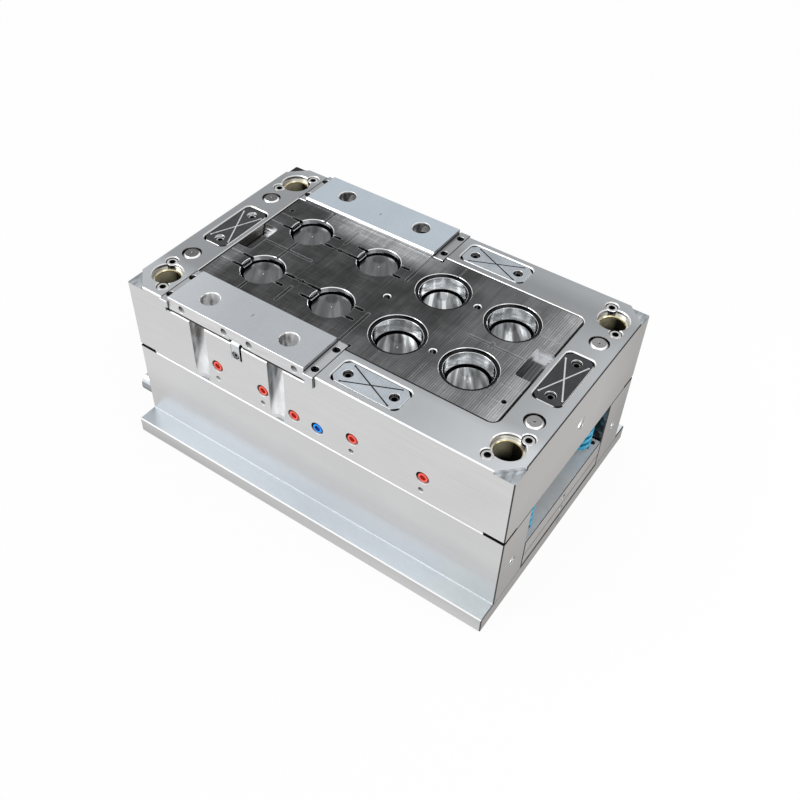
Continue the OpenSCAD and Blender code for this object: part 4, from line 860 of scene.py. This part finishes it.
def ejector_steel():
    """Ejector plates: mottled top in the dark box, warm ends in painted shade, a painted shadow line between
    the plates, painted highlights on bevels.
    """
    t = Tree("ejector_plate_ground")
    cloud = t.noise(26, (1.5, 1, 1), 3.0)
    lines = t.noise(0.9, (60, 1, 1), 2.0)
    grain = t.noise(1.4, (1, 1, 1), 2.0, offset=3.0)
    up = t.level()
    v = t.value(up, end_faces(t, 0.40, 0.24, 0.40), t.span(t.step(t.y, 60, 88), 0.58, 0.62))
    v = mottled(t, v, t.value(up, lines, grain), cloud, 0.14, 0.10)
    v = t.bevel_highlights(v, 0.75)
    # Painted shadow line where the plates meet on their end faces
    seam = t.mul(t.rim_lines(1.0), t.step(t.nx, 0.9, 0.97))
    v = t.value(seam, v, 0.10)
    t.put(t.bsdf.inputs["Metallic"], t.value(up, 1.0, 0.25))
    v, open_face = bright_holes(t, v, t.crevice_shade(3.0, 0.05, 0.5, 0.10), Z_CLAMP, Z_PLATE - 50, 8)
    return t.finish(warm_end(t, v, (0.97, 1.0, 1.02)), t.span(cloud, 0.30, 0.44), open_face)


PLATE = plate_steel()
MOVING = moving_steel()
INSERT = insert_steel()
SLIDE = slide_steel()
EJECT = ejector_steel()
PILLAR = turned_steel("pillar_turned", (0.16, 0.16, 0.16), (0.34, 0.34, 0.35), 0.3)
SCREW = screw_steel()
STOP_SCREW = turned_steel("screw_stop", (0.10, 0.10, 0.10), (0.40, 0.40, 0.41), 0.26)
DARK_SCREW = turned_steel("screw_black", (0.02, 0.02, 0.022), (0.09, 0.09, 0.095), 0.3)
STOP = stop_steel()
PEG = peg_steel()
GIB = gib_steel()
THREAD = turned_steel("thread_cut", (0.62, 0.62, 0.62), (0.90, 0.90, 0.90), 0.3)
PIN = pin_steel()
BUSH = bush_steel()
CAP_CORE = core_steel("cap_core_polished", CAP_X, 2.3, 0.14, 0.40, 0.95)
CLIP_CORE = core_steel("clip_core_polished", CLIP_X, 7.1, 0.14, 0.19, 0.26)
WEAR_DARK = wear_steel("wear_plate_dark", (0.075, 0.078, 0.083), (0.80, 0.81, 0.82))
WEAR_PALE = wear_steel("wear_plate_pale", (0.50, 0.545, 0.59), (0.03, 0.028, 0.025))
RED = plug_plastic("plug_red_gloss", (1.0, 0.12, 0.07), (0.42, 0.0, 0.0))
BLUE = plug_plastic("plug_blue_gloss", (0.0, 0.32, 1.0), (0.0, 0.02, 0.26))
SPRING = spring_paint("spring_paint", (0.003, 0.17, 0.30), (0.010, 0.27, 0.42))

BY_NAME = {
    "core_insert": INSERT, "moving_plate": MOVING, "water_plugs_red": RED, "water_plug_blue": BLUE,
    "wear_plate_left": WEAR_DARK, "wear_plate_right": WEAR_DARK,
    "wear_plate_front": WEAR_PALE, "wear_plate_back": WEAR_PALE,
    "bush_screws": SCREW, "stop_screws": STOP_SCREW, "wear_plate_screws": SCREW,
    "slide_front": SLIDE, "slide_back": SLIDE,
}
BY_START = (
    ("return_spring", SPRING), ("cap_core", CAP_CORE), ("clip_core", CLIP_CORE), ("guide_bush", BUSH),
    ("foot_peg", PEG), ("slide_stop", STOP), ("return_pin", PIN), ("ejector_sleeves", PIN),
    ("ejector_pins", PIN), ("support_pillar", PILLAR), ("rest_buttons", PILLAR), ("ejector_", EJECT),
)


def material_for(name):
    """Material of a CAD node, by its name or by how the name starts."""
    if name in BY_NAME:
        return BY_NAME[name]
    if name.endswith("_screws"):
        return DARK_SCREW
    if name.startswith("gib_"):
        return GIB
    for start, mat in BY_START:
        if name.startswith(start):
            return mat
    return PLATE


for name, ob in NODES.items():
    ob.data.materials.clear()
    ob.data.materials.append(material_for(name))


# Pieces

def new_piece(name, me, sharp, mat):
    """Object of a mesh, smooth but for edges sharper than the angle in degrees."""
    me.polygons.foreach_set("use_smooth", [True] * len(me.polygons))
    me.set_sharp_from_angle(angle=math.radians(sharp))
    me.materials.append(mat)
    ob = bpy.data.objects.new(name, me)
    bpy.context.scene.collection.objects.link(ob)
    return ob


def tube(count, n, first=0):
    """Faces of a closed tube through count rings of n points each, with its two ends."""
    faces = [(first + i * n + k, first + i * n + (k + 1) % n,
              first + (i + 1) * n + (k + 1) % n, first + (i + 1) * n + k)
             for i in range(count - 1) for k in range(n)]
    start = tuple(range(first + n - 1, first - 1, -1))
    end = tuple(range(first + (count - 1) * n, first + count * n))
    return [*faces, start, end]


def sweep(name, rings, mat, body):
    """Closed tube through equal rings of points, in millimetres."""
    me = bpy.data.meshes.new(name)
    me.from_pydata([Vector(p) * MM for ring in rings for p in ring], [], tube(len(rings), len(rings[0])))
    me.validate()
    ob = new_piece(name, me, 40, mat)
    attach(ob, body)
    return ob


def rounded_section(w, h, r, per_corner=4):
    """Points of a rectangle w by h with round corners, from its inner lower corner."""
    pts = []
    for cx, cy, a0 in ((w - r, r, -90), (w - r, h - r, 0), (r, h - r, 90), (r, r, 180)):
        for i in range(per_corner):
            a = math.radians(a0 + 90 * i / (per_corner - 1))
            pts.append((cx + r * math.cos(a), cy + r * math.sin(a)))
    return pts


SPRING_TURNS = 8.5
SPRING_STEPS = 48
WIRE_W = 6.0
WIRE_H = 5.5
WIRE_ROUND = 1.5


def spring(i):
    """Die spring of flat wire with closed end turns, seated on the ejector plate."""
    node = f"return_spring_{i}"
    low, high = box_mm(node)
    cx, cy = ((low[k] + high[k]) / 2 for k in (0, 1))
    outer = (high[1] - low[1]) / 2
    length = high[2] - low[2]
    close = WIRE_H + 0.4
    climb = length - WIRE_H - 2 * close
    section = rounded_section(WIRE_W, WIRE_H, WIRE_ROUND)
    inner = outer - WIRE_W

    def rise(turn):
        if turn < 1:
            return turn * close
        if turn > SPRING_TURNS - 1:
            return close + climb + (turn - SPRING_TURNS + 1) * close
        return close + (turn - 1) * climb / (SPRING_TURNS - 2)

    rings = []
    for s in range(int(SPRING_TURNS * SPRING_STEPS) + 1):
        turn = s / SPRING_STEPS
        a = 2 * math.pi * turn
        z = low[2] + rise(turn)
        rings.append([(cx + (inner + u) * math.cos(a), cy + (inner + u) * math.sin(a), z + v)
                      for u, v in section])
    ob = sweep(f"spring_coil_{i}", rings, SPRING, "ejector")
    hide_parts(node)
    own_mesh(ob)


for i in range(1, 5):
    spring(i)


THREAD_STEPS = 24
LIFT_THREAD = {"radius": 8.75, "pitch": 2.5, "length": 26}
RAIL_THREAD = {"radius": 6.0, "pitch": 1.75, "length": 18}


def thread(name, centre, inward, radius, pitch, length, body="base", slot="plate_steel"):
    """Helical ridge on the wall of a tapped hole that starts at centre and runs inward."""
    axis = Vector(inward).normalized()
    u = axis.orthogonal().normalized()
    v = axis.cross(u)
    root = radius + 0.05
    rings = []
    for s in range(int(length / pitch * THREAD_STEPS) + 1):
        a = 2 * math.pi * s / THREAD_STEPS
        out = math.cos(a) * u + math.sin(a) * v
        at = Vector(centre) + axis * (0.6 + pitch * s / THREAD_STEPS)
        rings.append([at + out * root, at + axis * (pitch * 0.42) + out * (radius - pitch * 0.5),
                      at + axis * (pitch * 0.84) + out * root])
    ob = sweep(name, rings, THREAD, body)


LIFT_Z = Z_PLATE + 47
RAIL_Z = Z_CLAMP + 48.5
RAIL_Y = middle("spacer_back")[1]
for side, s in (("right", 1), ("left", -1)):
    end = s * HALF_LEN
    thread(f"thread_lift_{side}", (end, 0, LIFT_Z), (-s, 0, 0), **LIFT_THREAD)
    for row, k in (("front", -1), ("back", 1)):
        thread(f"thread_rail_{side}_{row}", (end, k * RAIL_Y, RAIL_Z), (-s, 0, 0), **RAIL_THREAD)


def spots(node, axis, reach):
    """Boxes of a node's separate round solids, which all stand along one axis."""
    flat = [k for k in range(3) if k != axis]
    groups = []
    for vert in NODES[node].data.vertices:
        p = [c / MM for c in vert.co]
        for g in groups:
            if math.dist([p[k] for k in flat], [g[0][k] for k in flat]) < reach:
                g.append(p)
                break
        else:
            groups.append([p])
    return [([min(p[k] for p in g) for k in range(3)], [max(p[k] for p in g) for k in range(3)])
            for g in groups]


SEGMENTS = 48


def ring_radius(r, sides, angle):
    """Distance to a round ring, or to the side of a socket that many sides wide."""
    if not sides:
        return r
    return r / math.cos((angle % (2 * math.pi / sides)) - math.pi / sides)


def turned(name, node, axis, profile, mat, reach):
    """Round pieces in the place of a node's solids, which look up (axis 2) or to the front (axis 1).

    The profile lists radius, depth below the face, shade and, for a socket, the number of its sides.
    """
    verts, faces, shades = [], [], []
    for low, high in spots(node, axis, reach):
        cx, cy, cz = ((a + b) / 2 for a, b in zip(low, high))
        rings = profile(high[axis] - low[axis])
        faces += tube(len(rings), SEGMENTS, len(verts))
        for r, depth, shade, sides in rings:
            for k in range(SEGMENTS):
                a = 2 * math.pi * k / SEGMENTS
                out = ring_radius(r, sides, a)
                u, v = out * math.cos(a), out * math.sin(a)
                p = (cx + u, cy + v, high[2] - depth) if axis == 2 else (cx + u, low[1] + depth, cz + v)
                verts.append(Vector(p) * MM)
                shades.append(shade)
    me = bpy.data.meshes.new(name)
    me.from_pydata(verts, [], faces)
    bm = bmesh.new()
    bm.from_mesh(me)
    bmesh.ops.recalc_face_normals(bm, faces=bm.faces)
    bm.to_mesh(me)
    bm.free()
    layer = me.attributes.new("shade", "FLOAT", "POINT")
    layer.data.foreach_set("value", shades)
    ob = new_piece(name, me, 30, mat)
    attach(ob, "base")
    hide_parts(node)


def cap_screw(d, head, key):
    """Profile of a socket cap screw of thread d, with its head and the width of its socket."""
    r = head / 2

    def profile(length):
        # Shades: a painted highlight on the head's bevel, painted shade in the socket and down the side
        socket = [(key * 0.25, d * 0.62, 0.10, 6), (key * 0.48, d * 0.60, 0.10, 6),
                  (key * 0.5, 0.35, 0.015, 6)]
        face = [(key * 0.60, 0.05, 0.03, 0), (key * 0.66, 0.0, 0.70, 0), (r - 0.7, 0.0, 0.62, 0)]
        bevel = [(r - 0.6, 0.02, 0.95, 0), (r - 0.1, 0.5, 0.95, 0), (r, 0.7, 0.10, 0), (r, d, 0.05, 0)]
        shank = [(d / 2, d + 0.02, 0.05, 0), (d / 2, length - 0.5, 0.05, 0), (d / 2 - 0.5, length, 0.05, 0)]
        return socket + face + bevel + shank

    return profile


PLUG_R = (box_mm("water_plug_blue")[1][0] - box_mm("water_plug_blue")[0][0]) / 2
PLUG_NECK_R = PLUG_R - 1.1


def plug(length):
    """Profile of a water plug: small blind hole, dished middle, round lip, shank with a neck."""
    # Shade 1 is the painted shade of the dish, 0 the painted highlight of the lip
    dish = [(0.8, 6.0, 1.0, 0), (0.9, 3.4, 1.0, 0), (3.0, 2.6, 1.0, 0), (3.4, 1.3, 0.95, 0)]
    lip = [(3.7, 0.25, 0.10, 0), (4.2, 0.0, 0.0, 0), (4.9, 0.1, 0.0, 0), (5.5, 0.5, 0.25, 0)]
    shank = [(PLUG_R, 1.3, 0.6, 0), (PLUG_R, length - 8, 0.8, 0), (PLUG_NECK_R, length - 7.9, 0.8, 0),
             (PLUG_NECK_R, length - 0.4, 0.8, 0), (PLUG_R - 1.5, length, 0.8, 0)]
    return dish + lip + shank


M8_SCREW = cap_screw(8, 13, 6)
M6_SCREW = cap_screw(6, 10, 5)
turned("cap_screws_bushes", "bush_screws", 2, M8_SCREW, SCREW, 14)
turned("cap_screws_wear_plates", "wear_plate_screws", 2, M6_SCREW, SCREW, 11)
turned("plugs_red", "water_plugs_red", 1, plug, RED, 13)
turned("plug_blue", "water_plug_blue", 1, plug, BLUE, 13)


# Floor, light and camera, in metres and watts

FLOOR_GREY = 0.80
FLOOR_GLOW = 0.93
FLOOR_SIDE = 30.0
FLOOR_DROP = 0.0005


def emission_floor():
    """Floor that the camera and mirrors see as white, with a part of its shadows kept."""
    mat = bpy.data.materials.new("floor_white")
    mat.use_nodes = True
    t = mat.node_tree
    t.nodes.clear()
    out = t.nodes.new("ShaderNodeOutputMaterial")
    mix = t.nodes.new("ShaderNodeMixShader")
    diff = t.nodes.new("ShaderNodeBsdfDiffuse")
    diff.inputs[0].default_value = (FLOOR_GREY, FLOOR_GREY, FLOOR_GREY, 1)
    emit = t.nodes.new("ShaderNodeEmission")
    emit.inputs[0].default_value = (1, 1, 1, 1)
    path = t.nodes.new("ShaderNodeLightPath")
    both = t.nodes.new("ShaderNodeMath")
    both.operation = "MAXIMUM"
    t.links.new(path.outputs["Is Camera Ray"], both.inputs[0])
    t.links.new(path.outputs["Is Glossy Ray"], both.inputs[1])
    scale = t.nodes.new("ShaderNodeMath")
    scale.operation = "MULTIPLY"
    scale.inputs[1].default_value = FLOOR_GLOW
    t.links.new(both.outputs[0], scale.inputs[0])
    t.links.new(scale.outputs[0], mix.inputs[0])
    t.links.new(diff.outputs[0], mix.inputs[1])
    t.links.new(emit.outputs[0], mix.inputs[2])
    t.links.new(mix.outputs[0], out.inputs[0])
    return mat


def plane(name, size, z):
    """Square in metres at height z."""
    me = bpy.data.meshes.new(name)
    s = size / 2
    me.from_pydata([(-s, -s, z), (s, -s, z), (s, s, z), (-s, s, z)], [], [(0, 1, 2, 3)])
    ob = bpy.data.objects.new(name, me)
    bpy.context.scene.collection.objects.link(ob)
    return ob


floor = plane("floor", FLOOR_SIDE, CAD_BOX[0][2] - FLOOR_DROP)
floor.data.materials.append(emission_floor())


# Part of the sky that the level faces mirror towards the camera, and how bright it stays
MIRRORED_SKY = Vector((-0.38, 0.59, 0.71)).normalized()
MIRRORED_LEVEL = 0.80


def world():
    """White studio, a little darker where the level faces mirror it."""
    w = bpy.data.worlds.new("studio")
    bpy.context.scene.world = w
    w.use_nodes = True
    t = w.node_tree
    t.nodes.clear()
    out = t.nodes.new("ShaderNodeOutputWorld")
    bg = t.nodes.new("ShaderNodeBackground")
    coord = t.nodes.new("ShaderNodeTexCoord")
    path = t.nodes.new("ShaderNodeLightPath")
    dot = t.nodes.new("ShaderNodeVectorMath")
    dot.operation = "DOT_PRODUCT"
    dot.inputs[1].default_value = MIRRORED_SKY
    t.links.new(coord.outputs["Generated"], dot.inputs[0])
    ramp = t.nodes.new("ShaderNodeMapRange")
    ramp.inputs["From Min"].default_value = 0.55
    ramp.inputs["From Max"].default_value = 0.95
    ramp.inputs["To Min"].default_value = 1.0
    ramp.inputs["To Max"].default_value = MIRRORED_LEVEL
    t.links.new(dot.outputs["Value"], ramp.inputs["Value"])
    bright = t.nodes.new("ShaderNodeMath")
    bright.operation = "MAXIMUM"
    t.links.new(ramp.outputs[0], bright.inputs[0])
    t.links.new(path.outputs["Is Camera Ray"], bright.inputs[1])
    t.links.new(bright.outputs[0], bg.inputs["Strength"])
    bg.inputs["Color"].default_value = (1, 1, 1, 1)
    t.links.new(bg.outputs[0], out.inputs[0])


world()


def area(name, loc, target, size, power):
    """Square lamp at loc that looks at target, in metres and watts."""
    la = bpy.data.lights.new(name, "AREA")
    la.shape = "SQUARE"
    la.size = size
    la.energy = power
    ob = bpy.data.objects.new(name, la)
    bpy.context.scene.collection.objects.link(ob)
    ob.location = loc
    ob.rotation_euler = (Vector(target) - Vector(loc)).to_track_quat("-Z", "Y").to_euler()


area("key", (-1.6, -1.5, 2.2), (0, 0, 0.12), 1.4, 14)
area("fill", (1.9, -0.9, 1.5), (0, 0, 0.12), 1.2, 5)
area("low_right", (1.3, 0.15, 0.32), (0.2, 0, 0.09), 0.5, 6)


CAMERA_AZIMUTH = math.radians(32.7596)
CAMERA_ELEVATION = math.radians(45.3683)
CAMERA_ROLL = math.radians(2.5779)
CAMERA_PLACE = (0.4649, -0.6867, 0.9020)
CAMERA_LENS = 43.136


def camera():
    """Camera that lays the render over the photo."""
    az, el, roll = CAMERA_AZIMUTH, CAMERA_ELEVATION, CAMERA_ROLL
    back = Vector((math.sin(az) * math.cos(el), -math.cos(az) * math.cos(el), math.sin(el)))
    right = Vector((0, 0, 1)).cross(back).normalized()
    up = back.cross(right)
    rolled_right = math.cos(roll) * right + math.sin(roll) * up
    rolled_up = math.cos(roll) * up - math.sin(roll) * right
    data = bpy.data.cameras.new("camera")
    data.sensor_width = 36
    data.lens = CAMERA_LENS
    ob = bpy.data.objects.new("camera", data)
    bpy.context.scene.collection.objects.link(ob)
    turn = Matrix((rolled_right, rolled_up, back)).transposed().to_4x4()
    ob.matrix_world = Matrix.Translation(CAMERA_PLACE) @ turn
    bpy.context.scene.camera = ob


camera()
bpy.context.scene.view_settings.view_transform = "Standard"
